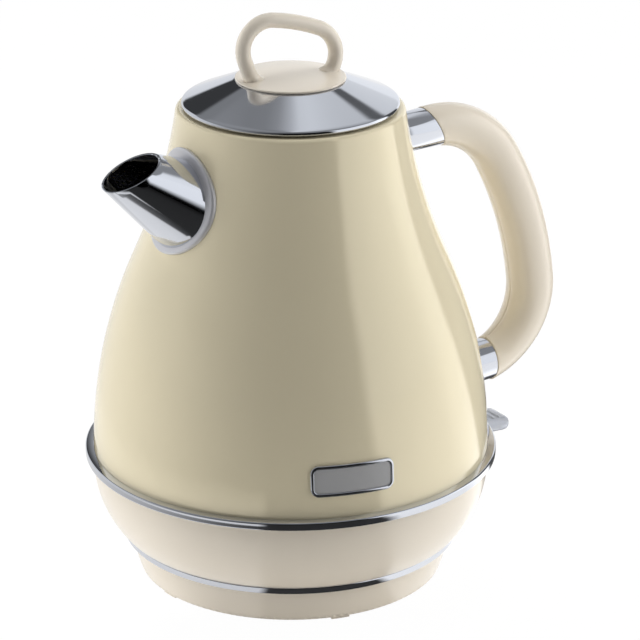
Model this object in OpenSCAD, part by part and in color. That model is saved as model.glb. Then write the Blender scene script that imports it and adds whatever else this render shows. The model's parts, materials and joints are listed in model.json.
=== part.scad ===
// Cordless electric kettle on its power base.
// Origin on the kettle's axis at table level, +Z up, handle on +X, spout on -X.

/* [Body] */
// Radius of the steel body at its widest, at the bottom
body_r = 86.4; // [82:0.2:92]
// Height at which the side starts to curve in
body_z = 56; // [54:0.5:60]
// Radius of the bulging arc of the side
belly_arc = 215; // [195:1:240]
// Lean of the side where the two arcs meet
side_lean = 24; // [22:0.5:26]
// Radius of the hollow arc that leads up to the mouth
neck_arc = 250; // [230:1:275]
// Height of the body's top edge
body_top = 209.8; // [204:0.2:214]
// Rounding of the shoulder round the mouth
shoulder_r = 1.8; // [1.4:0.1:2.4]
// Width of the flat edge round the mouth, inside the shoulder
mouth_edge = 5.65; // [5:0.05:8]
// Depth of the lip that turns down into the mouth
mouth_lip = 5; // [3:0.5:8]
// Thickness of the steel sheet of the body
body_wall = 0.8; // [0.6:0.1:1.2]

/* [Lower shell and trim ring] */
// How far the upper trim ring stands out beyond the body
ring_out = 3.6; // [3:0.1:5]
// Height of the upper trim ring's underside
ring_z = 53.4; // [52:0.2:54]
// Thickness of the ring's web under the body
ring_web = 1.5; // [1.2:0.1:2]
// Height of the ring's ledge against the body, above its underside
ring_h = 3.5; // [3:0.1:4.5]
// Height of the upright strip of the lower shell under the ring
bowl_flat = 3.4; // [2:0.1:5]
// Radius of the arc of the lower shell's side
bowl_arc = 44; // [42:0.5:48]
// Wall of the plastic lower shell
shell_wall = 2.2; // [1.8:0.1:2.8]
// Thickness of the kettle's bottom cover
cover_t = 2.4; // [2:0.1:3]

/* [Power base] */
// Height of the feet below the skirt
foot_h = 1.2; // [0.8:0.1:3]
// Number of feet
foot_count = 5; // [3:1:8]
// Bearing of the first foot
foot_bearing = 185; // [160:1:210]
// Angle that each foot covers
foot_span = 7; // [5:0.5:12]
// How far the skirt's top stays inside the body's radius
skirt_in = 16.8; // [15.4:0.1:17.4]
// How far the skirt draws in from its top to its lower edge
skirt_draw = 3.1; // [1.6:0.1:4.6]
// Height of the power base's deck
deck_z = 19.8; // [18.4:0.2:22]
// Wall of the power base's housing
base_wall = 2.2; // [1.8:0.1:2.6]
// How far the lower trim ring stands out beyond the skirt's top
base_ring_out = 4.1; // [3:0.1:5.4]
// Height of the lower trim ring
base_ring_h = 3.2; // [2.6:0.1:3.8]
// Radius of the dry compartment under the deck
drum_r = 46; // [44:0.5:50]
// Thickness of the plate that closes the compartment
base_plate_t = 3; // [2.6:0.1:3.4]
// Bearing of the cord outlet
outlet_bearing = -12; // [-25:1:-5]
// Width of the cord outlet
outlet_w = 12; // [10:0.5:16]
// Height of the cord outlet
outlet_h = 9.4; // [9.4:0.2:11]
// Bore of the cord outlet
outlet_bore = 7.4; // [5:0.1:8]

/* [Connector] */
// Radius of the boss that stands up from the deck
boss_r = 23.5; // [22.8:0.1:24.5]
// Height of the boss above the deck
boss_h = 14.7; // [13:0.1:16]
// Mean radius of the inner contact ring
contact_r1 = 9; // [8:0.1:10]
// Mean radius of the outer contact ring
contact_r2 = 15; // [14.4:0.1:15.6]
// Thickness of a contact ring
contact_t = 1; // [0.8:0.1:1.4]
// Radius of the centre contact pin
pin_r = 2; // [1.6:0.1:2.4]
// Length of the contacts below the socket's ceiling
contact_len = 10; // [8:0.5:12]
// Depth of the contact grooves in the boss
groove_depth = 11; // [10.5:0.5:13]
// Clearance each side of a contact in its groove
groove_gap = 0.8; // [0.6:0.1:1]
// Mean radius of the sprung guard ring
guard_r = 20.3; // [20:0.1:20.6]
// Thickness of the guard ring
guard_t = 1.8; // [1.4:0.1:2.2]
// Radial clearance between the boss and the kettle's socket
socket_gap = 0.8; // [0.6:0.1:1]
// Wall of the kettle's socket
socket_wall = 2; // [1.6:0.1:2.4]

/* [Heating] */
// Height of the pot's floor
floor_z = 62; // [61:0.5:66]
// Thickness of the heating plate
floor_t = 1.2; // [1:0.1:1.6]
// Height of the plate's turned-up rim
floor_rim = 7; // [5:0.5:10]
// Radius of the aluminium plate that spreads the heat
spreader_r = 58; // [54:0.5:62]
// Thickness of the aluminium plate
spreader_t = 2.8; // [2.4:0.1:3.2]
// Mean radius of the heating element's loop
element_r = 48; // [45:0.5:50]
// Diameter of the element's sheath
element_d = 6.4; // [5.6:0.1:7]
// Angle of the gap between the element's ends
element_gap = 50; // [44:1:60]
// Length of the control unit from front to back
control_l = 44; // [40:1:48]
// Width of the control unit
control_w = 36; // [32:1:40]
// Outer diameter of the steam tube
steam_d = 10; // [8:0.5:12]
// Distance of the steam tube from the axis
steam_x = 33; // [31:0.5:35]
// Height of the steam tube's top
steam_top = 192; // [180:1:196]

/* [Spout] */
// How far the mouth's centre stands out from the body's side at its height
spout_reach = 27.9; // [25.5:0.1:32]
// Height of the mouth's centre
spout_z = 192.6; // [190:0.1:196]
// Rise of the spout's axis
spout_rise = 32.6; // [30:0.2:35]
// Radius of the tube at the mouth
spout_r = 11.4; // [10.5:0.1:12.5]
// Half angle of the tube's taper
spout_taper = 14.4; // [12:0.1:15]
// Droop of the slanted mouth
spout_cut = 24.7; // [20:0.1:30]
// Wall of the spout
spout_wall = 0.8; // [0.6:0.1:1.2]
// Radius of the saddle flange
flange_r = 22.6; // [22:0.1:24]
// Thickness of the saddle flange
flange_t = 1.8; // [1.4:0.1:2.4]
// Radius of the pouring hole in the body
spout_hole_r = 14.5; // [12:0.5:15.5]
// Opening of the filter's mesh
mesh_pitch = 3; // [2.5:0.5:5]
// Thickness of the mesh wires
mesh_wire = 0.6; // [0.5:0.1:0.8]

/* [Handle] */
// Distance of the handle's upper end from the body's side
grip_reach = 19.3; // [16.5:0.1:22.5]
// Height of the handle's upper end
grip_z = 188.8; // [185:0.1:192]
// Rise of the handle where it leaves the upper ferrule
grip_rise = 3; // [0:0.5:6]
// Slant of the joint between the handle and the upper ferrule
grip_mitre = 22; // [0:1:26]
// Diameter of the grip
grip_d = 21.4; // [19.8:0.2:23]
// Wall of the grip's two halves
grip_wall = 2.4; // [2:0.1:3]
// Radius of the upper bend
bend_top = 38.5; // [34.5:0.5:42]
// Angle of the upper bend
bend_top_angle = 62.5; // [59.5:0.5:65]
// Radius of the long back of the grip
back_arc = 155; // [145:1:170]
// Angle of the long back
back_angle = 24; // [22:0.5:26]
// Radius of the lower bend
bend_low = 33.5; // [30.5:0.5:36]
// Rise of the handle where it meets the lower ferrule
grip_low_rise = 18; // [15:0.5:21]
// Rise of the lower ferrule away from the body
ferrule_rise = 3; // [1:0.5:6]
// Diameter of both ferrules at the handle
ferrule_d = 19; // [18:0.1:20]
// Diameter of the upper ferrule at the body
ferrule_root_d = 17; // [15:0.5:19]
// Diameter of the steel core in the handle
core_d = 7; // [6:0.5:8]
// Length of the ferrules' spigots inside the handle
spigot_l = 7; // [5:0.5:9]

/* [Switch] */
// How far the lever's pivot lies inside the body's radius
pivot_in = 11.4; // [10.4:0.1:12.4]
// Height of the lever's pivot
pivot_z = 43.4; // [42.8:0.1:44]
// Diameter of the pivot pin
pivot_d = 3; // [2.5:0.1:3.4]
// How far the paddle's tip reaches beyond the body's radius
paddle_out = 27.4; // [20:0.1:28.6]
// Width of the paddle
paddle_w = 16; // [14:0.5:19]
// Thickness of the paddle at its root
paddle_t = 8; // [7:0.1:8.4]
// Thickness of the paddle at its rounded tip
paddle_tip_t = 6.4; // [5:0.1:7]
// Rounding of the tip's two corners, seen from above
paddle_corner = 4.5; // [3:0.5:7]
// Droop of the paddle at rest
paddle_droop = 2.5; // [0:0.5:6]
// Number of grooves across the paddle
paddle_grooves = 3; // [0:1:3]
// Distance between the grooves
paddle_pitch = 3.2; // [2.6:0.1:3.4]

/* [Lid] */
// How far the lid sits turned from the handle's plane
lid_turn = -7; // [-20:1:20]
// How far the lid's rim reaches beyond the mouth
lid_over = 4.8; // [4.4:0.1:5.6]
// Height of the gap under the rim
lid_gap = 0.7; // [0.5:0.1:1.2]
// Height of the rim's upright lip
lid_lip = 2; // [1.6:0.1:3]
// Rise of the chrome cone above the lip
lid_rise = 8.9; // [7:0.1:11]
// Radius of the arc of the cone's side
lid_crown = 105; // [60:1:160]
// Thickness of the lid's cover
lid_wall = 0.8; // [0.6:0.1:1.2]
// Radius of the disc under the loop
disc_r = 23.6; // [22:0.1:25]
// Thickness of the disc's edge
disc_edge = 1.1; // [0.9:0.1:1.6]
// Rise of the disc's dome
disc_dome = 1.5; // [1:0.1:2.5]
// Diameter of the loop's section
loop_d = 6.5; // [5.6:0.1:7.4]
// Bowed side of the loop, near the spout: radius
loop_side_arc = 80; // [70:1:90]
// Upper corner of the loop near the spout: radius
loop_near_r = 12.2; // [11.8:0.1:12.6]
// Flattened top of the loop: radius
loop_top_arc = 85; // [78:1:92]
// Upper corner of the loop near the handle: radius
loop_far_r = 13.1; // [12.7:0.1:13.5]
// Side of the loop near the handle: radius
loop_end_arc = 42; // [37:1:47]
// Distance of the loop's first foot from the lid's middle
loop_foot = 16.7; // [16.3:0.1:17.1]
// Clearance between the lid's plug and the mouth
plug_gap = 1.9; // [1.6:0.1:3]
// Depth of the plug below the body's top
plug_depth = 9; // [7:0.5:11]

/* [Badge] */
// Bearing of the blank badge
badge_bearing = -104.3; // [-115:0.5:-95]
// Height of the badge's centre
badge_z = 73.6; // [71:0.1:78]
// Width of the badge
badge_w = 36.5; // [32:0.5:40]
// Height of the badge
badge_h = 13.6; // [11:0.1:15]
// Corner radius of the badge
badge_corner = 3.6; // [2:0.1:4.5]
// Width of the badge's frame
badge_rim = 1.5; // [1:0.1:2]
// How far the badge's frame stands out
badge_t = 1.5; // [1:0.1:2]

/* [Fits] */
// Gap between pieces that move past each other
run_gap = 0.35; // [0.3:0.05:0.4]
// Gap between fixed pieces that seat in each other
seat_gap = 0.1; // [0.05:0.05:0.15]
// Open joint between the grip and its ferrules
joint_gap = 0.3; // [0.2:0.05:0.4]
// Diameter of the small screws
screw_d = 3; // [2.5:0.1:3.4]

/* [Hidden] */
$fn = 96;

cream = "#efe3bf";
ivory = "#e8ddc8";
chrome = "#c9ccd2";
steel = "#b8bcc0";
black = "#26262a";
brass = "#c9a24a";

kettle_z = deck_z + run_gap;          // underside of the kettle on its base
ring_r = body_r + ring_out;           // upper trim ring
skirt_top_r = body_r - skirt_in;      // skirt of the power base
skirt_foot_r = skirt_top_r - skirt_draw;
base_ring_r = skirt_top_r + base_ring_out;
pivot_x = body_r - pivot_in;          // lever's pivot
paddle_x = body_r + paddle_out;       // lever's tip
lap = 0.5;                            // how far lengths of a sweep lap into each other

// ---- outline of the body's side -------------------------------------------------
belly_c = [body_r - belly_arc, body_z];
meet = belly_c + belly_arc * [cos(side_lean), sin(side_lean)];
neck_c = meet + neck_arc * [cos(side_lean), sin(side_lean)];
mouth_lean = asin((neck_c[1] + shoulder_r - body_top) / (neck_arc + shoulder_r));
shoulder_c = neck_c - (neck_arc + shoulder_r) * [cos(mouth_lean), sin(mouth_lean)];
mouth_r = shoulder_c[0] - mouth_edge;
lid_r = mouth_r + lid_over;
plug_r = mouth_r - plug_gap;

// Points of an arc about c from angle a to angle b
function arc(c, r, a, b, n) = [for (i = [0:n]) c + r * [cos(a + (b - a) * i / n), sin(a + (b - a) * i / n)]];

// The same points without the first
function rest(p) = [for (i = [1:len(p) - 1]) p[i]];

// The same points the other way round
function back(p) = [for (i = [len(p) - 1:-1:0]) p[i]];

// The body's side from the bottom up, moved outwards by off
function side(off) = concat(
    arc(belly_c, belly_arc + off, 0, side_lean, 12),
    rest(arc(neck_c, neck_arc - off, side_lean + 180, mouth_lean + 180, 8)));

// Radius of the body's side at height z, moved outwards by off
function side_r(z, off = 0) = z < meet[1]
    ? belly_c[0] + sqrt(pow(belly_arc + off, 2) - pow(max(z - body_z, 0), 2))
    : neck_c[0] - sqrt(pow(neck_arc - off, 2) - pow(neck_c[1] - z, 2));

spout_x = side_r(spout_z) + spout_reach;   // middle of the spout's mouth
grip_x = side_r(grip_z) + grip_reach;      // upper end of the handle

// The solid inside the body's side, moved outwards by off
module side_solid(off) {
    rotate_extrude() polygon(concat([[0, ring_z], [body_r + off, ring_z]], side(off),
        [[0, neck_c[1] - (neck_arc - off) * sin(mouth_lean)]]));
}

// ---- shapes used by several pieces ----------------------------------------------
module tube(r_out, r_in, h) {
    difference() {
        cylinder(r = r_out, h = h);
        translate([0, 0, -1]) cylinder(r = r_in, h = h + 2);
    }
}

module around(count, radius, first = 0) {
    for (i = [0:count - 1]) rotate([0, 0, first + i * 360 / count]) translate([radius, 0, 0]) children();
}

// A pan-head screw that points up, its head's face at z = 0
module screw(length) {
    difference() {
        cylinder(d = 2 * screw_d, h = screw_d * 0.6);
        translate([0, 0, -0.1]) cylinder(d = screw_d * 0.9, h = screw_d * 0.35, $fn = 6);
    }
    cylinder(d = screw_d, h = length);
}

// Follows a path of [radius, angle] bends in the XZ plane, each turning downwards,
// with a straight where the radius is 0 and the second value is its length.
// The section's X is the outer side of the bends and its Y stays along +Y. Every
// second length laps into its neighbours, with its section thinner by $thin.
module follow(path, i = 0) {
    if (i < len(path)) {
        r = path[i][0];
        a = path[i][1];
        before = i % 2 == 0 ? 0 : lap;
        after = i % 2 == 0 || i == len(path) - 1 ? 0 : lap;
        $thin = i % 2 == 0 ? 0 : lap / 25;
        if (r == 0) {
            translate([-before, 0, 0]) rotate([0, 90, 0]) linear_extrude(a + before + after) mirror([1, 0])
                children();
            translate([a, 0, 0]) follow(path, i + 1) children();
        } else {
            turn = 180 / PI / r;
            translate([0, 0, -r]) rotate([0, -90, -90]) rotate([0, 0, -before * turn])
                rotate_extrude(angle = a + (before + after) * turn) translate([r, 0]) children();
            translate([r * sin(a), 0, r * cos(a) - r]) rotate([0, a, 0]) follow(path, i + 1) children();
        }
    }
}

// Where such a path ends: [x, z, heading], for a start at p with heading h
function path_end(p, h, path, i = 0) = i == len(path) ? [p[0], p[1], h]
    : let (r = path[i][0], a = path[i][1])
        r == 0 ? path_end(p + a * [cos(h), sin(h)], h, path, i + 1)
        : path_end(p + r * [sin(h) - sin(h - a), cos(h - a) - cos(h)], h - a, path, i + 1);

// ---- power base -------------------------------------------------------------------
base_ring_z = deck_z - base_ring_h;
skirt_drop = base_ring_z - foot_h;
skirt_arc = (pow(skirt_drop, 2) + pow(skirt_draw, 2)) / (2 * skirt_draw);
skirt_c = [skirt_top_r - skirt_arc, base_ring_z];
skirt_lean = asin(skirt_drop / skirt_arc);
ring_seat_r = skirt_top_r - 1.2;
deck_under = deck_z - base_wall;
drum_wall = 2;
plate_z = foot_h + 0.6;
plate_top = plate_z + base_plate_t;
post_r = drum_r - 8;
neck_r = boss_r - 3;
foot_top = foot_h + 1;
foot_deep = 4.4;
hook_r = skirt_foot_r - base_wall - 4;
outlet_x = skirt_foot_r - 5;

// A ring sector centred on +X
module sector(r_in, r_out, span, h) {
    rotate([0, 0, -span / 2]) rotate_extrude(angle = span) translate([r_in, 0]) square([r_out - r_in, h]);
}

// The outline of the cord outlet, seen along the cord, grown by gap
module outlet_outline(gap = 0) {
    r = outlet_w / 4;
    w = outlet_w + 2 * gap;
    translate([-w / 2, -gap]) square([w, outlet_h - r + gap]);
    translate([r - w / 2, -gap]) square([w - 2 * r, outlet_h + 2 * gap]);
    for (side = [-1, 1]) translate([side * (w / 2 - r), outlet_h - r + gap]) circle(r);
}

// Places a cord-wise outline at the outlet and runs it outwards
module at_outlet(from, length) {
    rotate([0, 0, outlet_bearing]) translate([from, 0, foot_h]) rotate([90, 0, 90]) linear_extrude(length)
        children();
}

module feet(gap) {
    for (i = [0:foot_count - 1]) rotate([0, 0, foot_bearing + i * 360 / foot_count]) translate([0, 0, -gap])
        sector(skirt_foot_r - 0.7 - foot_deep - gap, skirt_foot_r - 0.7 + gap, foot_span + gap, foot_top + gap);
}

module base_housing() {
    color(ivory) difference() {
        union() {
            rotate_extrude() polygon(concat(arc(skirt_c, skirt_arc, -skirt_lean, 0, 8),
                [[ring_seat_r, base_ring_z], [ring_seat_r, deck_z], [0, deck_z], [0, deck_under],
                [ring_seat_r - base_wall, deck_under]], arc(skirt_c, skirt_arc - base_wall, 0, -skirt_lean, 8)));
            translate([0, 0, plate_top]) tube(drum_r, drum_r - drum_wall, deck_under - plate_top + 0.5);
            around(3, post_r, 60) translate([0, 0, plate_top])
                cylinder(d = 2.4 * screw_d, h = deck_under - plate_top + 0.5);
            around(4, hook_r, 30) translate([0, -5, foot_h + 1.5]) cube([6, 10, 1.6]);
            for (i = [0:foot_count - 1]) rotate([0, 0, foot_bearing + i * 360 / foot_count])
                translate([0, 0, foot_top]) sector(hook_r, skirt_foot_r - 1.5, foot_span + 2, 2);
        }
        translate([0, 0, deck_under - 1]) cylinder(r = neck_r + seat_gap, h = base_wall + 2);
        around(3, post_r, 60) translate([0, 0, plate_z]) cylinder(d = screw_d, h = 12);
        feet(seat_gap / 2);
        at_outlet(outlet_x - 1, 20) outlet_outline(seat_gap);
        rotate([0, 0, outlet_bearing]) translate([drum_r - 5, -outlet_bore / 2, plate_top - 1])
            cube([10, outlet_bore, outlet_bore + 1]);
    }
}

module base_trim_ring() {
    bead = base_ring_h / 2;
    color(chrome) rotate_extrude() difference() {
        union() {
            translate([ring_seat_r + seat_gap, base_ring_z])
                square([base_ring_r - bead - ring_seat_r - seat_gap, base_ring_h]);
            translate([base_ring_r - bead, base_ring_z + bead]) circle(bead);
        }
        translate([ring_seat_r, base_ring_z + base_ring_h - 0.5]) square([1.4, 1]);
    }
}

module base_plate() {
    color(ivory) difference() {
        union() {
            translate([0, 0, plate_z]) cylinder(r = drum_r, h = base_plate_t);
            translate([0, 0, plate_top]) tube(drum_r - drum_wall - seat_gap, drum_r - drum_wall - 1.8, 3);
        }
        around(3, post_r, 60) translate([0, 0, plate_z - 1]) {
            cylinder(d = screw_d + 2 * seat_gap, h = 10);
            cylinder(d = 2 * screw_d + 2 * seat_gap, h = 1 + 0.6 * screw_d);
        }
        for (i = [-3:3]) translate([i * 7 - 1.2, -11, plate_z - 1]) cube([2.4, 22, base_plate_t + 2]);
        rotate([0, 0, outlet_bearing]) translate([drum_r - 6, -outlet_bore / 2, plate_top - 0.01])
            cube([10, outlet_bore, 5]);
    }
}

module base_feet() {
    color(ivory) feet(0);
}

module base_screws() {
    color(steel) around(3, post_r, 60) translate([0, 0, plate_z]) screw(9.5);
}

module cord_outlet() {
    color(black) difference() {
        at_outlet(outlet_x, 7.5) outlet_outline();
        at_outlet(outlet_x - 1, 12) translate([0, outlet_h / 2]) circle(d = outlet_bore);
    }
}

// ---- connector between base and kettle --------------------------------------------
boss_top = deck_z + boss_h;
groove_floor = boss_top - groove_depth;
guard_skirt = 5;
guard_half = 0.7;
guard_z = boss_top + run_gap;
ceiling_z = guard_z + guard_t + run_gap;
ring_end = ceiling_z - contact_len;
socket_r = boss_r + socket_gap;
cover_top = kettle_z + cover_t;

module groove(r, half, depth) {
    translate([0, 0, boss_top - depth]) tube(r + half, r - half, depth + 1);
}

module base_connector() {
    half = contact_t / 2 + groove_gap;
    chamfer = 1;
    color(black) difference() {
        rotate_extrude() polygon([[0, deck_under - 6], [neck_r, deck_under - 6], [neck_r, deck_z], [boss_r, deck_z],
            [boss_r, boss_top - chamfer], [boss_r - chamfer, boss_top], [0, boss_top]]);
        translate([0, 0, groove_floor]) cylinder(r = pin_r + groove_gap, h = groove_depth + 1);
        groove(contact_r1, half, groove_depth);
        groove(contact_r2, half, groove_depth);
        groove(guard_r, guard_half + run_gap, guard_skirt + 1);
    }
}

module connector_nut() {
    color(black) translate([0, 0, deck_under - 4]) difference() {
        tube(neck_r + 6, neck_r + seat_gap / 2, 4);
        around(6, neck_r + 5, 30) translate([0, -2, -1]) cube([4, 4, 6]);
    }
}

module base_contacts() {
    h = ring_end - run_gap - groove_floor;
    color(brass) {
        for (r = [contact_r1, contact_r2]) translate([0, 0, groove_floor]) tube(r + contact_t / 2, r - contact_t / 2, h);
        translate([0, 0, groove_floor]) cylinder(r = pin_r, h = h);
    }
}

module connector_guard_ring() {
    color(black) {
        translate([0, 0, guard_z]) tube(boss_r - 0.4, contact_r2 + contact_t / 2 + 1.6, guard_t);
        translate([0, 0, guard_z - guard_skirt]) tube(guard_r + guard_half, guard_r - guard_half, guard_skirt + 0.5);
    }
}

module kettle_connector() {
    color(black) rotate_extrude() polygon([[0, ceiling_z], [socket_r, ceiling_z], [socket_r, kettle_z + 0.2],
        [socket_r + socket_wall, kettle_z + 0.2], [socket_r + socket_wall, cover_top], [socket_r + 7, cover_top],
        [socket_r + 7, cover_top + 2], [socket_r + socket_wall, cover_top + 2],
        [socket_r + socket_wall, ceiling_z + 2.4], [0, ceiling_z + 2.4]]);
}

module contact_pin() {
    color(brass) translate([0, 0, ring_end]) {
        cylinder(r1 = pin_r * 0.5, r2 = pin_r, h = 1.5);
        translate([0, 0, 1.5]) cylinder(r = pin_r, h = contact_len - 1.5);
    }
}

module contact_rings() {
    color(brass) for (r = [contact_r1, contact_r2]) translate([0, 0, ring_end])
        tube(r + contact_t / 2, r - contact_t / 2, contact_len);
}

// ---- kettle: body and heating -----------------------------------------------------
wall_z = ring_z + ring_web + seat_gap;

// Bisects for the distance back along the spout's axis at which it meets the side
function spout_depth(a, b, n) = n == 0 ? a
    : let (m = (a + b) / 2) spout_x - m * cos(spout_rise) > side_r(spout_z - m * sin(spout_rise))
        ? spout_depth(m, b, n - 1) : spout_depth(a, m, n - 1);
spout_l = spout_depth(0, 60, 24);
root_z = spout_z - spout_l * sin(spout_rise);
root_x = side_r(root_z);
root_lean = asin((neck_c[1] - root_z) / neck_arc);

// Local frame at the spout's mouth, its Z along the spout and out
module at_spout() {
    translate([-spout_x, 0, spout_z]) rotate([0, spout_rise - 90, 0]) children();
}

// Local frame where the spout meets the body, its Z square to the side and out
module at_root() {
    translate([-root_x, 0, root_z]) rotate([0, root_lean - 90, 0]) children();
}

module body_shell() {
    t = body_wall;
    outline = concat([[body_r, wall_z]], side(0), rest(arc(shoulder_c, shoulder_r, mouth_lean, 90, 5)),
        [[mouth_r, body_top], [mouth_r, body_top - mouth_lip], [mouth_r + t, body_top - mouth_lip],
        [mouth_r + t, body_top - t]], arc(shoulder_c, shoulder_r - t, 90, mouth_lean, 4), rest(back(side(-t))),
        [[body_r - t, wall_z]]);
    color(cream) difference() {
        rotate_extrude() polygon(outline);
        at_spout() translate([0, 0, -spout_l - 15]) cylinder(r = spout_hole_r, h = 30);
    }
}

module heating_plate() {
    r0 = side_r(floor_z, -body_wall - seat_gap);
    r1 = side_r(floor_z + floor_rim, -body_wall - seat_gap);
    color(steel) difference() {
        rotate_extrude() polygon([[0, floor_z], [r0 - 0.8, floor_z], [r0, floor_z + 0.8], [r1, floor_z + floor_rim],
            [r1 - floor_t, floor_z + floor_rim], [r0 - floor_t, floor_z + floor_t + 0.8],
            [r0 - floor_t - 0.8, floor_z + floor_t], [0, floor_z + floor_t]]);
        translate([steam_x, 0, floor_z - 1]) cylinder(d = steam_d + 2 * seat_gap, h = 5);
    }
}

spreader_z = floor_z - spreader_t;
element_z = spreader_z - element_d / 2;
unit_z = ceiling_z + 2.4;
unit_top = element_z - 0.6;

module heat_spreader() {
    color(steel) difference() {
        translate([0, 0, spreader_z]) cylinder(r = spreader_r, h = spreader_t);
        translate([steam_x, 0, spreader_z - 1]) cylinder(d = steam_d + 2, h = spreader_t + 2);
    }
}

module heating_element() {
    color("#8d8f94") translate([0, 0, element_z]) rotate([0, 0, element_gap / 2])
        rotate_extrude(angle = 360 - element_gap) translate([element_r, 0]) circle(d = element_d);
}

module element_terminals() {
    color(brass) for (side = [-1, 1]) rotate([0, 0, side * element_gap / 2])
        translate([element_r, -side * 1.2, element_z]) {
            translate([-1.5, -1.2, -9]) cube([3, 2.4, 9 + 1.5]);
            translate([-3, -0.4, -15]) cube([6, 0.8, 7]);
        }
}

module control_unit() {
    r = 5;
    color(black) difference() {
        union() {
            for (x = [-1, 1], y = [-1, 1])
                translate([x * (control_l / 2 - r), y * (control_w / 2 - r), unit_z]) cylinder(r = r, h = unit_top - unit_z);
            translate([-control_l / 2, r - control_w / 2, unit_z]) cube([control_l, control_w - 2 * r, unit_top - unit_z]);
            translate([r - control_l / 2, -control_w / 2, unit_z]) cube([control_l - 2 * r, control_w, unit_top - unit_z]);
            translate([control_l / 2 - 1, -6, unit_z]) cube([18, 12, 1.6]);
        }
        translate([0, 0, unit_top - 2]) cylinder(r = 8, h = 3);
        for (y = [-1, 1]) translate([-control_l / 2 - 1, y * 9 - 2.5, unit_z + 4]) cube([7, 5, 6]);
    }
}

module thermostat_disc() {
    color(steel) translate([0, 0, unit_top - 2]) cylinder(r = 7, h = spreader_z - unit_top + 2);
}

module steam_tube() {
    bottom = unit_z + 2;
    color(ivory) translate([steam_x, 0, bottom]) difference() {
        cylinder(d = steam_d, h = steam_top - bottom);
        translate([0, 0, -1]) cylinder(d = steam_d - 2.4, h = steam_top - bottom + 2);
        translate([0, 0, steam_top - bottom]) rotate([0, 35, 0]) translate([-2 * steam_d, -steam_d, -steam_d / 2])
            cube([4 * steam_d, 2 * steam_d, steam_d * 2]);
    }
}

// ---- kettle: ring, lower shell and what it holds ----------------------------------
ledge_z = ring_z + ring_h;
bowl_r = body_r + seat_gap;
bowl_c = [bowl_r - bowl_arc, ring_z - bowl_flat];
bowl_lean = asin((bowl_c[1] - kettle_z) / bowl_arc);
function bowl_at(z, off = 0) = bowl_c[0] + sqrt(pow(bowl_arc + off, 2) - pow(min(z - bowl_c[1], 0), 2));
cover_r = bowl_at(kettle_z, -shell_wall) - 0.4;
bowl_screw_r = cover_r - 9;
cheek_t = 2.5;
cheek_y = paddle_w / 2 + run_gap;

module body_trim_ring() {
    color(chrome) rotate_extrude() polygon(concat([[body_r - 5, ring_z]],
        arc([ring_r - 0.9, ring_z + 0.9], 0.9, -90, 25, 5),
        [[ring_r - 2, ring_z + ring_h - 0.9], [ring_r - 2.3, ring_z + ring_h - 0.7],
        [body_r + seat_gap, ledge_z], [body_r + seat_gap, ring_z + ring_web], [body_r - 5, ring_z + ring_web]]));
}

module bowl_solid(off) {
    rotate_extrude() polygon(concat([[0, kettle_z]], arc(bowl_c, bowl_arc + off, -bowl_lean, 0, 12),
        [[bowl_r + off, ring_z], [0, ring_z]]));
}

module bottom_shell() {
    slot_w = paddle_w + 2 * run_gap + 1;
    color(ivory) difference() {
        union() {
            difference() {
                bowl_solid(0);
                rotate_extrude() polygon(concat([[0, kettle_z - 1], [cover_r + seat_gap, kettle_z - 1],
                    [cover_r + seat_gap, cover_top]], [for (p = arc(bowl_c, bowl_arc - shell_wall, -bowl_lean, 0, 12))
                    if (p[1] > cover_top + 0.2) p], [[bowl_r - shell_wall, ring_z + 1], [0, ring_z + 1]]));
            }
            intersection() {
                union() {
                    translate([0, 0, cover_top]) tube(cover_r + 6, cover_r - 2.5, 1.6);
                    around(3, bowl_screw_r, 60) {
                        translate([0, 0, cover_top]) cylinder(d = 2.6 * screw_d, h = 14);
                        translate([2, -1, cover_top]) cube([20, 2, 14]);
                    }
                }
                bowl_solid(-0.5);
            }
        }
        around(3, bowl_screw_r, 60) translate([0, 0, cover_top - 1]) cylinder(d = screw_d, h = 11);
        translate([bowl_r - 8, -slot_w / 2, pivot_z - paddle_t / 2 - 4.5]) cube([20, slot_w, paddle_t + 6]);
    }
}

module bottom_cover() {
    color(ivory) difference() {
        translate([0, 0, kettle_z]) cylinder(r = cover_r, h = cover_t);
        translate([0, 0, kettle_z - 1]) cylinder(r = socket_r + socket_wall + seat_gap, h = cover_t + 2);
        around(3, bowl_screw_r, 60) translate([0, 0, kettle_z - 1]) {
            cylinder(d = screw_d + 2 * seat_gap, h = cover_t + 2);
            cylinder(d = 2 * screw_d + 2 * seat_gap, h = 1 + 0.6 * screw_d);
        }
    }
}

module bottom_screws() {
    color(steel) around(3, bowl_screw_r, 60) translate([0, 0, kettle_z]) screw(11);
}

module lever_bracket() {
    foot_x = pivot_x - 20;
    color(black) difference() {
        union() {
            for (side = [-1, 1]) translate([0, side * (cheek_y + cheek_t / 2) + cheek_t / 2, 0]) rotate([90, 0, 0])
                linear_extrude(cheek_t) {
                    polygon([[foot_x, cover_top], [foot_x + 10, cover_top], [pivot_x - 6, cover_top + 6],
                        [pivot_x + 2.6, pivot_z - 3.2], [pivot_x - 2, pivot_z + 4], [foot_x + 8, pivot_z - 6],
                        [foot_x, cover_top + 8]]);
                    translate([pivot_x, pivot_z]) circle(r = 4.2);
                }
            translate([foot_x, -cheek_y - cheek_t, cover_top]) cube([10, 2 * (cheek_y + cheek_t), 2]);
        }
        translate([pivot_x, -30, pivot_z]) rotate([-90, 0, 0]) cylinder(d = pivot_d, h = 60);
    }
}

module pivot_pin() {
    color(steel) translate([pivot_x, -cheek_y - cheek_t, pivot_z]) rotate([-90, 0, 0])
        cylinder(d = pivot_d, h = 2 * (cheek_y + cheek_t));
}

module indicator_lamp() {
    color("#e8e0d8") translate([pivot_x - 13, 0, cover_top + 2]) {
        cylinder(d = 5, h = 9);
        translate([0, 0, 9]) sphere(d = 5);
    }
}

// ---- kettle: spout ---------------------------------------------------------------
spout_grow = tan(spout_taper);
filter_r = spout_hole_r + 1.4;
filter_deep = 8;

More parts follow.
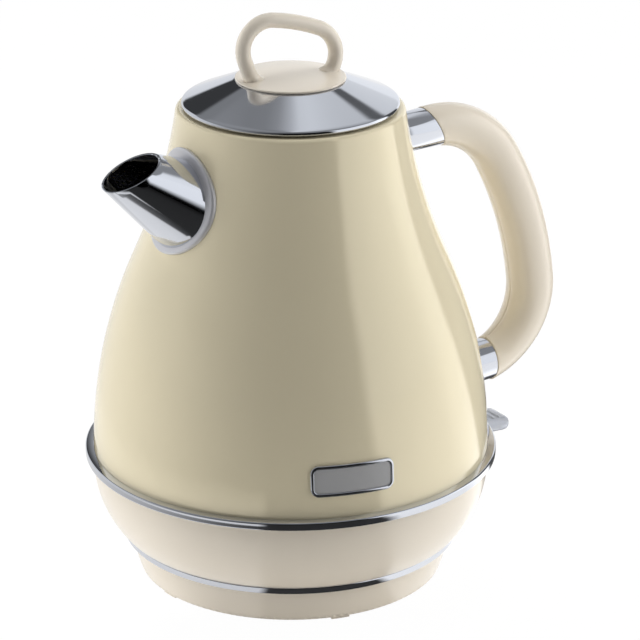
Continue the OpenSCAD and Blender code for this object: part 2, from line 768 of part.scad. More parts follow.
// The spout's cone, from deep inside the body to beyond the mouth, thinner by inset
module spout_cone(inset = 0) {
    back = spout_l + 12;
    ahead = 16;
    lose = inset / cos(spout_taper);
    translate([0, 0, -back]) cylinder(r1 = spout_r + back * spout_grow - lose,
        r2 = spout_r - ahead * spout_grow - lose, h = back + ahead);
}

module spout_tube() {
    color(chrome) difference() {
        at_spout() difference() {
            spout_cone();
            spout_cone(spout_wall);
        }
        side_solid(seat_gap / 2);
        translate([-spout_x, 0, spout_z]) rotate([0, -spout_cut, 0]) translate([-50, -50, 0]) cube(100);
    }
}

module spout_flange() {
    color(chrome) difference() {
        intersection() {
            at_root() cylinder(r = flange_r, h = 30, center = true);
            side_solid(flange_t);
        }
        side_solid(seat_gap / 2);
        at_spout() spout_cone(-seat_gap);
    }
}

module filter_frame() {
    color(black) intersection() {
        at_root() difference() {
            translate([0, 0, -filter_deep]) cylinder(r = filter_r + 1.6, h = 2 * filter_deep);
            translate([0, 0, -filter_deep - 1]) cylinder(r = filter_r, h = 2 * filter_deep + 2);
        }
        side_solid(-body_wall - seat_gap);
    }
}

module filter_mesh() {
    n = floor(filter_r / mesh_pitch);
    color(steel) at_root() translate([0, 0, 0.6 - filter_deep]) intersection() {
        cylinder(r = filter_r - seat_gap / 2, h = 3 * mesh_wire, center = true);
        for (i = [-n:n]) {
            translate([i * mesh_pitch, 0, 0]) cube([mesh_wire, 3 * filter_r, mesh_wire], center = true);
            translate([0, i * mesh_pitch, 0]) cube([3 * filter_r, mesh_wire, mesh_wire], center = true);
        }
    }
}

// ---- kettle: handle ---------------------------------------------------------------
bend_low_angle = 180 + grip_rise - grip_low_rise - bend_top_angle - back_angle;
grip_bends = [[bend_top, bend_top_angle], [back_arc, back_angle], [bend_low, bend_low_angle]];
grip_lead = grip_d / 2 * tan(grip_mitre) + 1;
grip_start = [grip_x, grip_z];
grip_end = path_end(grip_start, grip_rise, grip_bends);
reach_top = (grip_x - side_r(grip_z)) / cos(grip_rise);
reach_low = (grip_end[0] - side_r(grip_end[1])) / cos(ferrule_rise);
low_turn = grip_low_rise - ferrule_rise;
low_lead = grip_d / 2 * tan(low_turn) + 1;
pocket_d = grip_d - 2 * grip_wall;
screw_turn = 5;
grip_screws = [path_end(grip_start, grip_rise, [grip_bends[0], [back_arc, screw_turn]]),
    path_end(grip_start, grip_rise, [grip_bends[0], [back_arc, back_angle - screw_turn]])];
head_deep = 4;

// Local frame at the handle's upper end: X along the handle, Z up
module at_grip() {
    translate([grip_x, 0, grip_z]) rotate([0, -grip_rise, 0]) children();
}

// Local frame at the handle's lower end, X along the ferrule towards the body
module at_grip_end() {
    translate([grip_end[0], 0, grip_end[1]]) rotate([0, 180 - ferrule_rise, 0]) children();
}

// Everything on one side of the slanted upper joint: the body's side, or the grip's
module mitre_side(flip = 0) {
    at_grip() rotate([0, -grip_mitre, 0]) rotate([0, 0, flip]) translate([joint_gap / 2 - 60, -30, -30]) cube(60);
}

module at_grip_screws() {
    for (p = grip_screws) translate([p[0], 0, p[1]]) children();
}

// One half of the grip; side is 1 for +Y and -1 for -Y
module grip_half(side) {
    boss_y = core_d / 2 + seat_gap;
    difference() {
        union() {
            difference() {
                at_grip() translate([-grip_lead, 0, 0]) follow(concat([[0, grip_lead]], grip_bends, [[0, low_lead]])) difference() {
                    circle(d = grip_d - 2 * $thin);
                    circle(d = pocket_d + 2 * $thin);
                    translate([-grip_d, side > 0 ? $thin - 2 * grip_d : -$thin]) square(2 * grip_d);
                }
                mitre_side();
                at_grip_end() translate([0, -30, -30]) cube(60);
            }
            at_grip_screws() rotate([-90 * side, 0, 0]) translate([0, 0, boss_y])
                cylinder(d = 2.7 * screw_d, h = grip_d / 2 - grip_wall / 2 - boss_y);
        }
        at_grip_screws() rotate([-90 * side, 0, 0]) {
            cylinder(d = screw_d, h = side > 0 ? grip_d : grip_d / 2 - grip_wall / 2);
            if (side > 0) translate([0, 0, grip_d / 2 - head_deep]) cylinder(d = 2 * screw_d + 2 * seat_gap, h = grip_d);
        }
    }
}

module handle_left() {
    color(ivory) grip_half(1);
}

module handle_right() {
    color(ivory) grip_half(-1);
}

// The core's whole rod, grown by gap, with both ends inside the body
module core_rod(gap = 0) {
    lead = reach_top + 10;
    at_grip() translate([-lead, 0, 0]) follow(concat([[0, lead]], grip_bends, [[core_d, low_turn], [0, reach_low + 10]]))
        circle(d = core_d + 2 * gap - 2 * $thin);
}

module handle_core() {
    color(steel) difference() {
        core_rod();
        side_solid(seat_gap / 2);
        at_grip_screws() rotate([90, 0, 0]) cylinder(d = screw_d + 2 * seat_gap, h = grip_d, center = true);
    }
}

module handle_screws() {
    color(steel) at_grip_screws() translate([0, grip_d / 2 - head_deep + 0.6 * screw_d, 0]) rotate([90, 0, 0])
        screw(grip_d - head_deep - grip_wall);
}

module upper_ferrule() {
    slope = (ferrule_d - ferrule_root_d) / 2 / reach_top;
    back = reach_top + 12;
    ahead = grip_lead + 2;
    color(chrome) difference() {
        union() {
            difference() {
                at_grip() translate([-back, 0, 0]) rotate([0, 90, 0]) cylinder(r1 = ferrule_d / 2 - slope * back,
                    r2 = ferrule_d / 2 + slope * ahead, h = back + ahead);
                mitre_side(180);
            }
            at_grip() translate([-3, 0, 0]) rotate([0, 90, 0]) cylinder(d = pocket_d - 3, h = 3 + spigot_l);
        }
        side_solid(seat_gap / 2);
        core_rod(seat_gap);
    }
}

module lower_ferrule() {
    color(chrome) difference() {
        at_grip_end() rotate([0, 90, 0]) {
            translate([0, 0, joint_gap]) cylinder(d = ferrule_d, h = reach_low + 12);
            translate([0, 0, -spigot_l / 2]) cylinder(d = pocket_d - 4, h = spigot_l / 2 + 1);
        }
        side_solid(seat_gap / 2);
        core_rod(seat_gap);
    }
}

// ---- kettle: badge ----------------------------------------------------------------
module rounded(w, h, r) {
    square([w, h - 2 * r], center = true);
    square([w - 2 * r, h], center = true);
    for (x = [-1, 1], y = [-1, 1]) translate([x * (w / 2 - r), y * (h / 2 - r)]) circle(r);
}

// A plate that lies on the body's side, from the seat out to t
module on_side(t) {
    intersection() {
        difference() {
            side_solid(t);
            side_solid(seat_gap / 2);
        }
        rotate([0, 0, badge_bearing]) translate([body_r / 2, 0, badge_z]) rotate([90, 0, 90]) linear_extrude(body_r)
            children();
    }
}

module badge_frame() {
    color(chrome) on_side(badge_t) difference() {
        rounded(badge_w, badge_h, badge_corner);
        rounded(badge_w - 2 * badge_rim, badge_h - 2 * badge_rim, badge_corner - badge_rim);
    }
}

module badge_plate() {
    inset = badge_rim + seat_gap / 2;
    color("#8f8f92") on_side(badge_t / 2) rounded(badge_w - 2 * inset, badge_h - 2 * inset, badge_corner - badge_rim);
}

// ---- switch lever -----------------------------------------------------------------
module switch_lever() {
    neck_x = bowl_at(pivot_z) - pivot_x - 6;
    length = paddle_x - pivot_x;
    nose_r = paddle_tip_t / 2;
    side_y = paddle_w / 2 - paddle_corner;
    arm = 26;
    color([0.85, 0.9, 0.95, 0.6]) translate([pivot_x, 0, pivot_z]) rotate([0, paddle_droop, 0]) difference() {
        union() {
            rotate([-90, 0, 0]) cylinder(d = pivot_d + 5, h = paddle_w, center = true);
            intersection() {
                rotate([90, 0, 0]) linear_extrude(paddle_w, center = true) polygon(concat([[0, -paddle_t / 2]],
                    arc([length - nose_r, 0], nose_r, -90, 90, 8), [[neck_x, paddle_t / 2], [0, paddle_t / 2]]));
                union() {
                    translate([0, -paddle_w / 2, -paddle_t]) cube([length - paddle_corner, paddle_w, 2 * paddle_t]);
                    translate([0, -side_y, -paddle_t]) cube([length, 2 * side_y, 2 * paddle_t]);
                    for (y = [-side_y, side_y]) translate([length - paddle_corner, y, -paddle_t])
                        cylinder(r = paddle_corner, h = 2 * paddle_t);
                }
            }
            translate([-arm, -3, -1.5]) cube([arm, 6, 3]);
            translate([-arm, -3, -6]) cube([3, 6, 6]);
        }
        rotate([-90, 0, 0]) cylinder(d = pivot_d + 2 * seat_gap, h = 2 * paddle_w, center = true);
        if (paddle_grooves > 0) for (i = [0:paddle_grooves - 1])
            translate([length - paddle_tip_t - i * paddle_pitch, 0, paddle_tip_t / 2 + 0.9])
                rotate([90, 0, 0]) cylinder(r = 1.3, h = paddle_w - 4, center = true);
    }
}

// ---- lid --------------------------------------------------------------------------
lid_z = body_top + lid_gap;
lip_z = lid_z + lid_lip;
disc_z = lip_z + 0.3 + lid_rise;
hub_r = disc_r - 6;
hub_h = 3.4;
loop_bends = [[loop_side_arc, 8.5], [loop_near_r, 116.5], [loop_top_arc, 14.7], [loop_far_r, 98.5],
    [loop_end_arc, 4.2]];
loop_start = [-loop_foot, disc_z - 0.4];
loop_heading = 117;
pan_floor = body_top - plug_depth;
pan_wall = 1.4;
lid_post_r = 11;

// Points of an arc of radius r from p to q that bulges to the right of the way
function arc_through(p, q, r, n) = let (d = q - p, l = norm(d), u = d / l,
    c = (p + q) / 2 + sqrt(r * r - l * l / 4) * [-u[1], u[0]],
    a = atan2(p[1] - c[1], p[0] - c[0]), b = 2 * asin(l / 2 / r)) arc(c, r, a, a + b, n);

module turned() {
    rotate([0, 0, lid_turn]) children();
}

module lid_cover() {
    t = lid_wall;
    top = arc_through([lid_r - 0.5, lip_z + 0.3], [hub_r, disc_z], lid_crown, 8);
    under = arc_through([lid_r - 0.5 - t, lip_z + 0.3 - t / 2], [hub_r, disc_z - t], lid_crown, 8);
    color(chrome) turned() rotate_extrude() polygon(concat([[lid_r - t, lid_z], [lid_r, lid_z], [lid_r, lip_z - 0.3],
        [lid_r - 0.15, lip_z + 0.1]], top, [for (i = [8:-1:0]) under[i]], [[lid_r - t, lip_z - 0.5]]));
}

module lid_handle() {
    dome = arc_through([disc_r, disc_z + disc_edge], [0, disc_z + disc_edge + disc_dome],
        (pow(disc_r, 2) + pow(disc_dome, 2)) / (2 * disc_dome), 8);
    color(ivory) turned() difference() {
        union() {
            rotate_extrude() polygon(concat([[0, disc_z - hub_h], [hub_r - seat_gap, disc_z - hub_h],
                [hub_r - seat_gap, disc_z + 0.2], [disc_r - 0.3, disc_z + 0.2], [disc_r, disc_z + 0.5]], dome));
            difference() {
                translate([loop_start[0], 0, loop_start[1]]) rotate([0, -loop_heading, 0])
                    follow(loop_bends) circle(d = loop_d - 2 * $thin);
                translate([0, 0, disc_z - 2 * loop_d]) cylinder(r = disc_r + loop_d, h = 2 * loop_d + disc_edge / 2);
            }
        }
        around(3, lid_post_r, 30) translate([0, 0, disc_z - hub_h - 1]) cylinder(d = screw_d, h = 1 + hub_h);
    }
}

module lid_inner() {
    flange_r = lid_r - lid_wall - 0.4;
    color(steel) turned() difference() {
        union() {
            rotate_extrude() polygon([[0, pan_floor], [plug_r - 1, pan_floor], [plug_r, pan_floor + 1],
                [plug_r, lid_z + 0.2], [flange_r, lid_z + 0.2], [flange_r, lid_z + 1.2], [plug_r - pan_wall, lid_z + 1.2],
                [plug_r - pan_wall, pan_floor + pan_wall], [0, pan_floor + pan_wall]]);
            around(3, lid_post_r, 30) translate([0, 0, pan_floor])
                cylinder(d = 2.8 * screw_d, h = disc_z - hub_h - pan_floor);
        }
        around(3, lid_post_r, 30) translate([0, 0, pan_floor - 1]) {
            cylinder(d = screw_d + 2 * seat_gap, h = 40);
            cylinder(d = 2 * screw_d + 2 * seat_gap, h = 1 + 0.6 * screw_d);
        }
    }
}

module lid_gasket() {
    r = mouth_r - run_gap;
    z = body_top - 4;
    color("#d9d9d6") turned() rotate_extrude() polygon([[plug_r, z - 2], [plug_r + 0.8, z - 2], [plug_r + 0.8, z - 0.6],
        [r, z], [r, z + 0.5], [plug_r + 0.8, z + 0.5], [plug_r + 0.8, z + 2], [plug_r, z + 2]]);
}

module lid_screws() {
    color(steel) turned() around(3, lid_post_r, 30) translate([0, 0, pan_floor])
        screw(disc_z - 0.8 - pan_floor);
}

base_housing();
base_trim_ring();
base_plate();
base_feet();
base_screws();
base_connector();
connector_nut();
base_contacts();
cord_outlet();
connector_guard_ring();
body_shell();
heating_plate();
heat_spreader();
heating_element();
element_terminals();
control_unit();
thermostat_disc();
kettle_connector();
contact_pin();
contact_rings();
body_trim_ring();
bottom_shell();
bottom_cover();
bottom_screws();
steam_tube();
lever_bracket();
pivot_pin();
indicator_lamp();
spout_tube();
spout_flange();
filter_frame();
filter_mesh();
handle_left();
handle_right();
handle_core();
handle_screws();
upper_ferrule();
lower_ferrule();
badge_frame();
badge_plate();
switch_lever();
lid_cover();
lid_handle();
lid_inner();
lid_gasket();
lid_screws();
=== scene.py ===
import json
from math import asin, atan2, cos, degrees, exp, hypot, pi, radians, sin, sqrt, tan

import bpy
from mathutils import Matrix, Vector


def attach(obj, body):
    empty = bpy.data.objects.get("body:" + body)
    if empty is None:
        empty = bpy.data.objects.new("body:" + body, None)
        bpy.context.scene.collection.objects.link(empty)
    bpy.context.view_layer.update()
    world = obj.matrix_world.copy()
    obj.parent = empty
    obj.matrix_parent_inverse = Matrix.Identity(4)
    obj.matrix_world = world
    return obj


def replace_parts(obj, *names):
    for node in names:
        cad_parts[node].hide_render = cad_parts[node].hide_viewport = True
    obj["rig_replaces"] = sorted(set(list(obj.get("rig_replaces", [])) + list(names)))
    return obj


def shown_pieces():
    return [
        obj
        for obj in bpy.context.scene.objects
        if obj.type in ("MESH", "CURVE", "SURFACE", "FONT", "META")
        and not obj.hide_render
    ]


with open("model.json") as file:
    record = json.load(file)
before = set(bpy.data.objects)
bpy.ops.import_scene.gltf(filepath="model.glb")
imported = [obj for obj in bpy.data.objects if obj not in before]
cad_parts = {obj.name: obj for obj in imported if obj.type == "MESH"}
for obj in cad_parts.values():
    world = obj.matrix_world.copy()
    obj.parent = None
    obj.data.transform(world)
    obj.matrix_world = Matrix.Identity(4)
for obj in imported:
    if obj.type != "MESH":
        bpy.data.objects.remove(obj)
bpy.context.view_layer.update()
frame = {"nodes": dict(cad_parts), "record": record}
mm = 0.001
weld = 0.002  # how close two points are merged, in mm

# the body's side: a bulging arc that runs into a hollow one, with a rounded shoulder at the top
body = {"radius": 86.4, "foot": 55.0, "bulgeFrom": 56.0, "bulgeArc": 215.0, "lean": 24.0,
        "neckArc": 250.0, "top": 209.8, "shoulder": 1.8, "mouth": 41.5, "lip": 5.0, "wall": 0.8,
        "edge": 0.3, "cutFrom": 50.0, "seat": 0.05}


# helpers for shapes; all their lengths are in mm

def arcPoints(centre, radius, start, end, count):
    # points along an arc, angles in degrees
    steps = [radians(start + (end - start) * i / count) for i in range(count + 1)]
    return [(centre[0] + radius * cos(a), centre[1] + radius * sin(a)) for a in steps]


def select(obj):
    # picks one object alone
    bpy.ops.object.select_all(action="DESELECT")
    obj.select_set(True)
    bpy.context.view_layer.objects.active = obj


def drawLine(name, points):
    # one vertex, extruded from point to point
    bpy.ops.object.select_all(action="DESELECT")
    bpy.ops.mesh.primitive_plane_add(size=mm)
    obj = bpy.context.object
    obj.name = obj.data.name = name
    bpy.ops.object.mode_set(mode="EDIT")
    bpy.ops.mesh.merge(type="CENTER")
    here = Vector((0, 0, 0))
    for number, point in enumerate(points):
        step = (Vector(point) - here) * mm
        if number == 0:
            bpy.ops.transform.translate(value=step)
        else:
            bpy.ops.mesh.extrude_region_move(TRANSFORM_OT_translate={"value": step})
        here = Vector(point)
    bpy.ops.object.mode_set(mode="OBJECT")
    return obj


def tidyShell(obj):
    # merges doubles and turns the faces outwards
    select(obj)
    bpy.ops.object.mode_set(mode="EDIT")
    bpy.ops.mesh.select_all(action="SELECT")
    bpy.ops.mesh.remove_doubles(threshold=weld * mm)
    bpy.ops.mesh.normals_make_consistent(inside=False)
    bpy.ops.object.mode_set(mode="OBJECT")
    return obj


def smooth(obj, angle=32):
    # smooth shading, with edges sharper than the angle kept
    select(obj)
    bpy.ops.object.shade_smooth_by_angle(angle=radians(angle))
    return obj


def lathe(name, outline, segments=160, angle=32):
    # a closed outline of (radius, height), spun about the Z axis
    closed = [(r, 0, z) for r, z in list(outline) + [outline[0]]]
    obj = drawLine(name, closed)
    bpy.ops.object.mode_set(mode="EDIT")
    bpy.ops.mesh.select_all(action="SELECT")
    bpy.ops.mesh.spin(steps=segments, angle=2 * pi, center=(0, 0, 0), axis=(0, 0, 1))
    bpy.ops.object.mode_set(mode="OBJECT")
    return smooth(tidyShell(obj), angle)


def settle(obj):
    # puts a piece's turn, size and place into its mesh
    select(obj)
    bpy.ops.object.transform_apply(location=True, rotation=True, scale=True)
    return obj


def place(obj, origin, zAxis, xAxis):
    # stands a piece made about its own Z axis at origin
    z = Vector(zAxis).normalized()
    x = Vector(xAxis).normalized()
    turn = Matrix((x, z.cross(x), z)).transposed().to_4x4()
    obj.matrix_world = Matrix.Translation(Vector(origin) * mm) @ turn
    return settle(obj)


def sweep(name, section, start, heading, bends, perStep=4.0, width=None):
    # carries a closed section along bends in the XZ plane, each [radius, angle], turning downwards;
    # a radius of 0 runs straight for so many mm, and width gives the section's scale on the way
    width = width or (lambda way: 1.0)
    h, way = radians(heading), 0.0
    outer = Vector((-sin(h), 0, cos(h)))
    at = Vector((start[0], 0, start[1]))
    first = [(x * width(0), y * width(0)) for x, y in section]
    obj = drawLine(name, [at + outer * x + Vector((0, y, 0)) for x, y in first + [first[0]]])
    bpy.ops.object.mode_set(mode="EDIT")
    bpy.ops.mesh.select_all(action="SELECT")
    bpy.ops.mesh.remove_doubles(threshold=weld * mm)
    bpy.ops.mesh.edge_face_add()
    for radius, angle in bends:
        steps = 1 if radius == 0 else max(2, round(angle / perStep))
        for _ in range(steps):
            forward = Vector((cos(h), 0, sin(h)))
            outer = Vector((-sin(h), 0, cos(h)))
            before = width(way)
            if radius == 0:
                step = forward * angle
                bpy.ops.mesh.extrude_region_move(TRANSFORM_OT_translate={"value": step * mm})
                at = at + step
                way += angle
            else:
                turn = radians(angle / steps)
                centre = at - outer * radius
                bpy.ops.mesh.spin(steps=1, angle=turn, center=centre * mm, axis=(0, -1, 0))
                h -= turn
                at = centre + Vector((-sin(h), 0, cos(h))) * radius
                way += radius * turn
            scale = width(way) / before
            if abs(scale - 1) > 1e-6:
                bpy.ops.transform.resize(value=(scale, scale, scale), center_override=at * mm)
    bpy.ops.object.mode_set(mode="OBJECT")
    return tidyShell(obj)


def block(name, low, high):
    # a plain box between two corners, to be shaped further
    bpy.ops.object.select_all(action="DESELECT")
    centre = [(a + b) / 2 * mm for a, b in zip(low, high)]
    bpy.ops.mesh.primitive_cube_add(size=1, location=centre)
    obj = bpy.context.object
    obj.name = obj.data.name = name
    obj.scale = [(b - a) * mm for a, b in zip(low, high)]
    return settle(obj)


def cutPlane(obj, point, normal, keep="below", over=-1.0, under=999.0):
    # cuts the part of a piece between two heights with a plane, and leaves its rim picked
    select(obj)
    bpy.ops.object.mode_set(mode="EDIT")
    bpy.ops.mesh.select_mode(type="VERT")
    bpy.ops.mesh.select_all(action="DESELECT")
    bpy.ops.object.mode_set(mode="OBJECT")
    for vertex in obj.data.vertices:
        vertex.select = over * mm < vertex.co.z < under * mm
    bpy.ops.object.mode_set(mode="EDIT")
    bpy.ops.mesh.bisect(plane_co=Vector(point) * mm, plane_no=normal, use_fill=False,
                        clear_outer=keep == "below", clear_inner=keep == "above")
    bpy.ops.mesh.select_all(action="DESELECT")
    bpy.ops.mesh.select_non_manifold(extend=False)
    return obj


def closeRing(obj):
    # joins the two picked rims
    bpy.ops.mesh.bridge_edge_loops()
    bpy.ops.object.mode_set(mode="OBJECT")
    return tidyShell(obj)


def closeFace(obj):
    # fills the picked rim
    bpy.ops.mesh.edge_face_add()
    bpy.ops.object.mode_set(mode="OBJECT")
    return tidyShell(obj)


def carve(obj, cutter):
    # takes the cutter's shape out of a piece
    select(obj)
    modifier = obj.modifiers.new("carve", "BOOLEAN")
    modifier.operation = "DIFFERENCE"
    modifier.solver = "EXACT"
    modifier.object = cutter
    bpy.ops.object.modifier_apply(modifier=modifier.name)
    bpy.data.objects.remove(cutter)
    return obj


def soften(obj, width, segments=2, limit=35):
    # rounds the sharp edges of a piece
    select(obj)
    modifier = obj.modifiers.new("soften", "BEVEL")
    modifier.width = width * mm
    modifier.segments = segments
    modifier.limit_method = "ANGLE"
    modifier.angle_limit = radians(limit)
    modifier.harden_normals = False
    bpy.ops.object.modifier_apply(modifier=modifier.name)
    return obj


def joinAll(obj, others):
    # makes others part of a piece
    select(obj)
    for other in others:
        other.select_set(True)
    bpy.ops.object.join()
    return obj


def copyNode(node, angle=28):
    # a merged copy of a CAD node, so that its round faces shade smoothly
    obj = bpy.data.objects.new(node + ".look", frame["nodes"][node].data.copy())
    obj.data.name = obj.name
    bpy.context.scene.collection.objects.link(obj)
    select(obj)
    bpy.ops.object.mode_set(mode="EDIT")
    bpy.ops.mesh.select_all(action="SELECT")
    bpy.ops.mesh.remove_doubles(threshold=weld / 2 * mm)
    bpy.ops.object.mode_set(mode="OBJECT")
    return smooth(obj, angle)


def dress(obj, material, rides, slotName, *nodes):
    # gives a finished piece its material, its body and the nodes that it stands for
    obj.data.materials.clear()
    obj.data.materials.append(material)
    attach(obj, rides)
    if nodes:
        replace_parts(obj, *nodes)
    return obj


# the body's side as a curve

bulgeCentre = (body["radius"] - body["bulgeArc"], body["bulgeFrom"])
leanCos, leanSin = cos(radians(body["lean"])), sin(radians(body["lean"]))
meet = (bulgeCentre[0] + body["bulgeArc"] * leanCos, bulgeCentre[1] + body["bulgeArc"] * leanSin)
neckCentre = (meet[0] + body["neckArc"] * leanCos, meet[1] + body["neckArc"] * leanSin)
shoulderReach = body["neckArc"] + body["shoulder"]
mouthLean = asin((neckCentre[1] + body["shoulder"] - body["top"]) / shoulderReach)
shoulderCentre = (neckCentre[0] - shoulderReach * cos(mouthLean),
                  neckCentre[1] - shoulderReach * sin(mouthLean))
mouthDegrees = degrees(mouthLean)


def sideRadius(z, out=0.0):
    # the body's radius at a height
    if z < meet[1]:
        up = max(z - bulgeCentre[1], 0)
        return bulgeCentre[0] + sqrt((body["bulgeArc"] + out) ** 2 - up ** 2)
    return neckCentre[0] - sqrt((body["neckArc"] - out) ** 2 - (neckCentre[1] - z) ** 2)


def sidePoints(out=0.0, fine=2):
    # the side's curve from its foot up to the shoulder, moved out so many mm
    bulge = arcPoints(bulgeCentre, body["bulgeArc"] + out, 0, body["lean"], 14 * fine)
    neck = arcPoints(neckCentre, body["neckArc"] - out, body["lean"] + 180, mouthDegrees + 180, 9 * fine)
    return bulge + neck[1:]


def sideSolid(out):
    # everything inside the body's side, to cut other pieces with
    top = neckCentre[1] - (body["neckArc"] - out) * sin(mouthLean)
    foot = body["cutFrom"]
    return lathe("sideCutter", [(0, foot), (body["radius"] + out, foot)] + sidePoints(out) + [(0, top)])


# materials: each finish varies a little in colour and roughness over the piece

noiseSpan = (0.3, 0.7)  # the part of the noise that makes the difference


def startMaterial(name):
    material = bpy.data.materials.new(name)
    material.use_nodes = True
    tree = material.node_tree
    return material, tree, tree.nodes["Principled BSDF"]


def setInputs(node, values):
    for key, value in values.items():
        node.inputs[key].default_value = value
    return node


def addNode(tree, kind, inputs=None, **settings):
    node = tree.nodes.new(kind)
    for key, value in settings.items():
        setattr(node, key, value)
    return setInputs(node, inputs or {})


def noiseOf(tree, scale, detail=3.0, stretch=(1, 1, 1)):
    where = addNode(tree, "ShaderNodeTexCoord")
    mapping = addNode(tree, "ShaderNodeMapping", {"Scale": stretch})
    noise = addNode(tree, "ShaderNodeTexNoise", {"Scale": scale, "Detail": detail})
    tree.links.new(where.outputs["Object"], mapping.inputs["Vector"])
    tree.links.new(mapping.outputs["Vector"], noise.inputs["Vector"])
    return noise


def spreadColour(tree, shader, noise, dark, light):
    ramp = addNode(tree, "ShaderNodeValToRGB")
    for element, position, colour in zip(ramp.color_ramp.elements, noiseSpan, (dark, light)):
        element.position = position
        element.color = (*colour, 1)
    tree.links.new(noise.outputs["Fac"], ramp.inputs["Fac"])
    tree.links.new(ramp.outputs["Color"], shader.inputs["Base Color"])


def spreadRoughness(tree, shader, noise, low, high):
    fit = addNode(tree, "ShaderNodeMapRange", {"From Min": noiseSpan[0], "From Max": noiseSpan[1],
                                               "To Min": low, "To Max": high})
    tree.links.new(noise.outputs["Fac"], fit.inputs["Value"])
    tree.links.new(fit.outputs["Result"], shader.inputs["Roughness"])


def addGrain(tree, shader, noise, strength, distance):
    bump = addNode(tree, "ShaderNodeBump", {"Strength": strength, "Distance": distance * mm})
    tree.links.new(noise.outputs["Fac"], bump.inputs["Height"])
    tree.links.new(bump.outputs["Normal"], shader.inputs["Normal"])


def makeEnamel():
    # yellow cream lacquer over a fine pearl base, under a clear coat
    look = {"dark": (0.83, 0.745, 0.535), "light": (0.84, 0.755, 0.545), "smooth": 0.09, "dull": 0.11,
            "peel": 0.02, "pearl": 0.15}
    material, tree, shader = startMaterial("creamEnamel")
    spreadColour(tree, shader, noiseOf(tree, 9, 2), look["dark"], look["light"])
    spreadRoughness(tree, shader, noiseOf(tree, 30, 2), look["smooth"], look["dull"])
    addGrain(tree, shader, noiseOf(tree, 420, 2), 0.05, look["peel"])
    setInputs(shader, {"Metallic": look["pearl"], "Coat Weight": 1.0, "Coat Roughness": 0.04,
                       "Coat IOR": 1.33, "Specular IOR Level": 0.0})
    return material


def makePlastic(name, dark, light, roughness, coat, grain):
    material, tree, shader = startMaterial(name)
    spreadColour(tree, shader, noiseOf(tree, 14, 3), dark, light)
    spreadRoughness(tree, shader, noiseOf(tree, 25, 2), roughness - 0.006, roughness + 0.008)
    addGrain(tree, shader, noiseOf(tree, 900, 2), 0.08, grain)
    setInputs(shader, {"Coat Weight": coat, "Coat Roughness": 0.08, "Specular IOR Level": 0.5})
    return material


def makeMetal(name, dark, light, low, high, grain=0.02, stretch=(1, 1, 1), metallic=1.0):
    material, tree, shader = startMaterial(name)
    spreadColour(tree, shader, noiseOf(tree, 20, 3), dark, light)
    spreadRoughness(tree, shader, noiseOf(tree, 35, 4, stretch), low, high)
    addGrain(tree, shader, noiseOf(tree, 700, 3, stretch), 0.04, grain)
    setInputs(shader, {"Metallic": metallic})
    return material


def makeClear(name, colour, roughness, clear=1.0):
    material, tree, shader = startMaterial(name)
    spreadRoughness(tree, shader, noiseOf(tree, 80, 3), roughness * 0.6, roughness)
    addGrain(tree, shader, noiseOf(tree, 500, 2), 0.05, 0.02)
    setInputs(shader, {"Base Color": (*colour, 1), "Transmission Weight": clear, "IOR": 1.49})
    return material


enamel = makeEnamel()
ivory = makePlastic("ivoryPlastic", (0.79, 0.715, 0.60), (0.80, 0.725, 0.61), 0.28, 0.35, 0.02)
# a lighter copy of the ivory plastic for the lid's loop and disc: painted light from above, where the lamps
# leave them too dark
paintedLightIvory = makePlastic("paintedLightIvory", (0.85, 0.775, 0.66), (0.86, 0.785, 0.67), 0.26, 0.35, 0.02)
chrome = makeMetal("chromePlate", (0.67, 0.69, 0.74), (0.70, 0.72, 0.77), 0.05, 0.09)
flangeChrome = makeMetal("flangeChrome", (0.62, 0.62, 0.65), (0.74, 0.74, 0.77), 0.26, 0.36, 0.08,
                         metallic=0.45)
steel = makeMetal("plainSteel", (0.56, 0.56, 0.57), (0.66, 0.66, 0.66), 0.22, 0.34, 0.04, (1, 1, 6))
aluminium = makeMetal("bareAluminium", (0.6, 0.61, 0.62), (0.72, 0.73, 0.74), 0.3, 0.45, 0.05)
brass = makeMetal("plainBrass", (0.62, 0.44, 0.16), (0.72, 0.54, 0.24), 0.2, 0.32)
blackPlastic = makePlastic("blackPlastic", (0.012, 0.012, 0.014), (0.02, 0.02, 0.022), 0.42, 0.0, 0.05)
clearPlastic = makeClear("clearPlastic", (0.66, 0.69, 0.76), 0.14, 0.35)
badgeGrey = makePlastic("badgeGrey", (0.39, 0.39, 0.395), (0.42, 0.42, 0.425), 0.4, 0.3, 0.03)
lampGlass = makeClear("lampGlass", (0.95, 0.9, 0.85), 0.2)
silicone = makePlastic("silicone", (0.62, 0.62, 0.60), (0.68, 0.68, 0.66), 0.5, 0.0, 0.04)
print("materials made")


# the spout's place, and the body shell with the hole behind it

spout = {"x": 79.7, "z": 192.6, "rise": 32.6, "mouthRadius": 11.4, "taper": 14.4, "mouthDroop": 24.7,
         "wall": 0.8, "hole": 14.5, "spareBack": 10.0, "spareAhead": 14.0, "edge": 0.22}
rise = radians(spout["rise"])
spoutOut = Vector((-cos(rise), 0, sin(rise)))
spoutUp = Vector((sin(rise), 0, cos(rise)))
mouthCentre = Vector((-spout["x"], 0, spout["z"]))
near, far = 0.0, 60.0
for _ in range(30):  # halving: how far back along its axis the spout meets the side
    middle = (near + far) / 2
    outside = spout["x"] - middle * cos(rise) > sideRadius(spout["z"] - middle * sin(rise))
    near, far = (middle, far) if outside else (near, middle)
spoutLength = near
rootPoint = mouthCentre - spoutOut * spoutLength
rootLean = asin((neckCentre[1] - rootPoint.z) / body["neckArc"])
rootOut = Vector((-cos(rootLean), 0, sin(rootLean)))
rootUp = Vector((sin(rootLean), 0, cos(rootLean)))


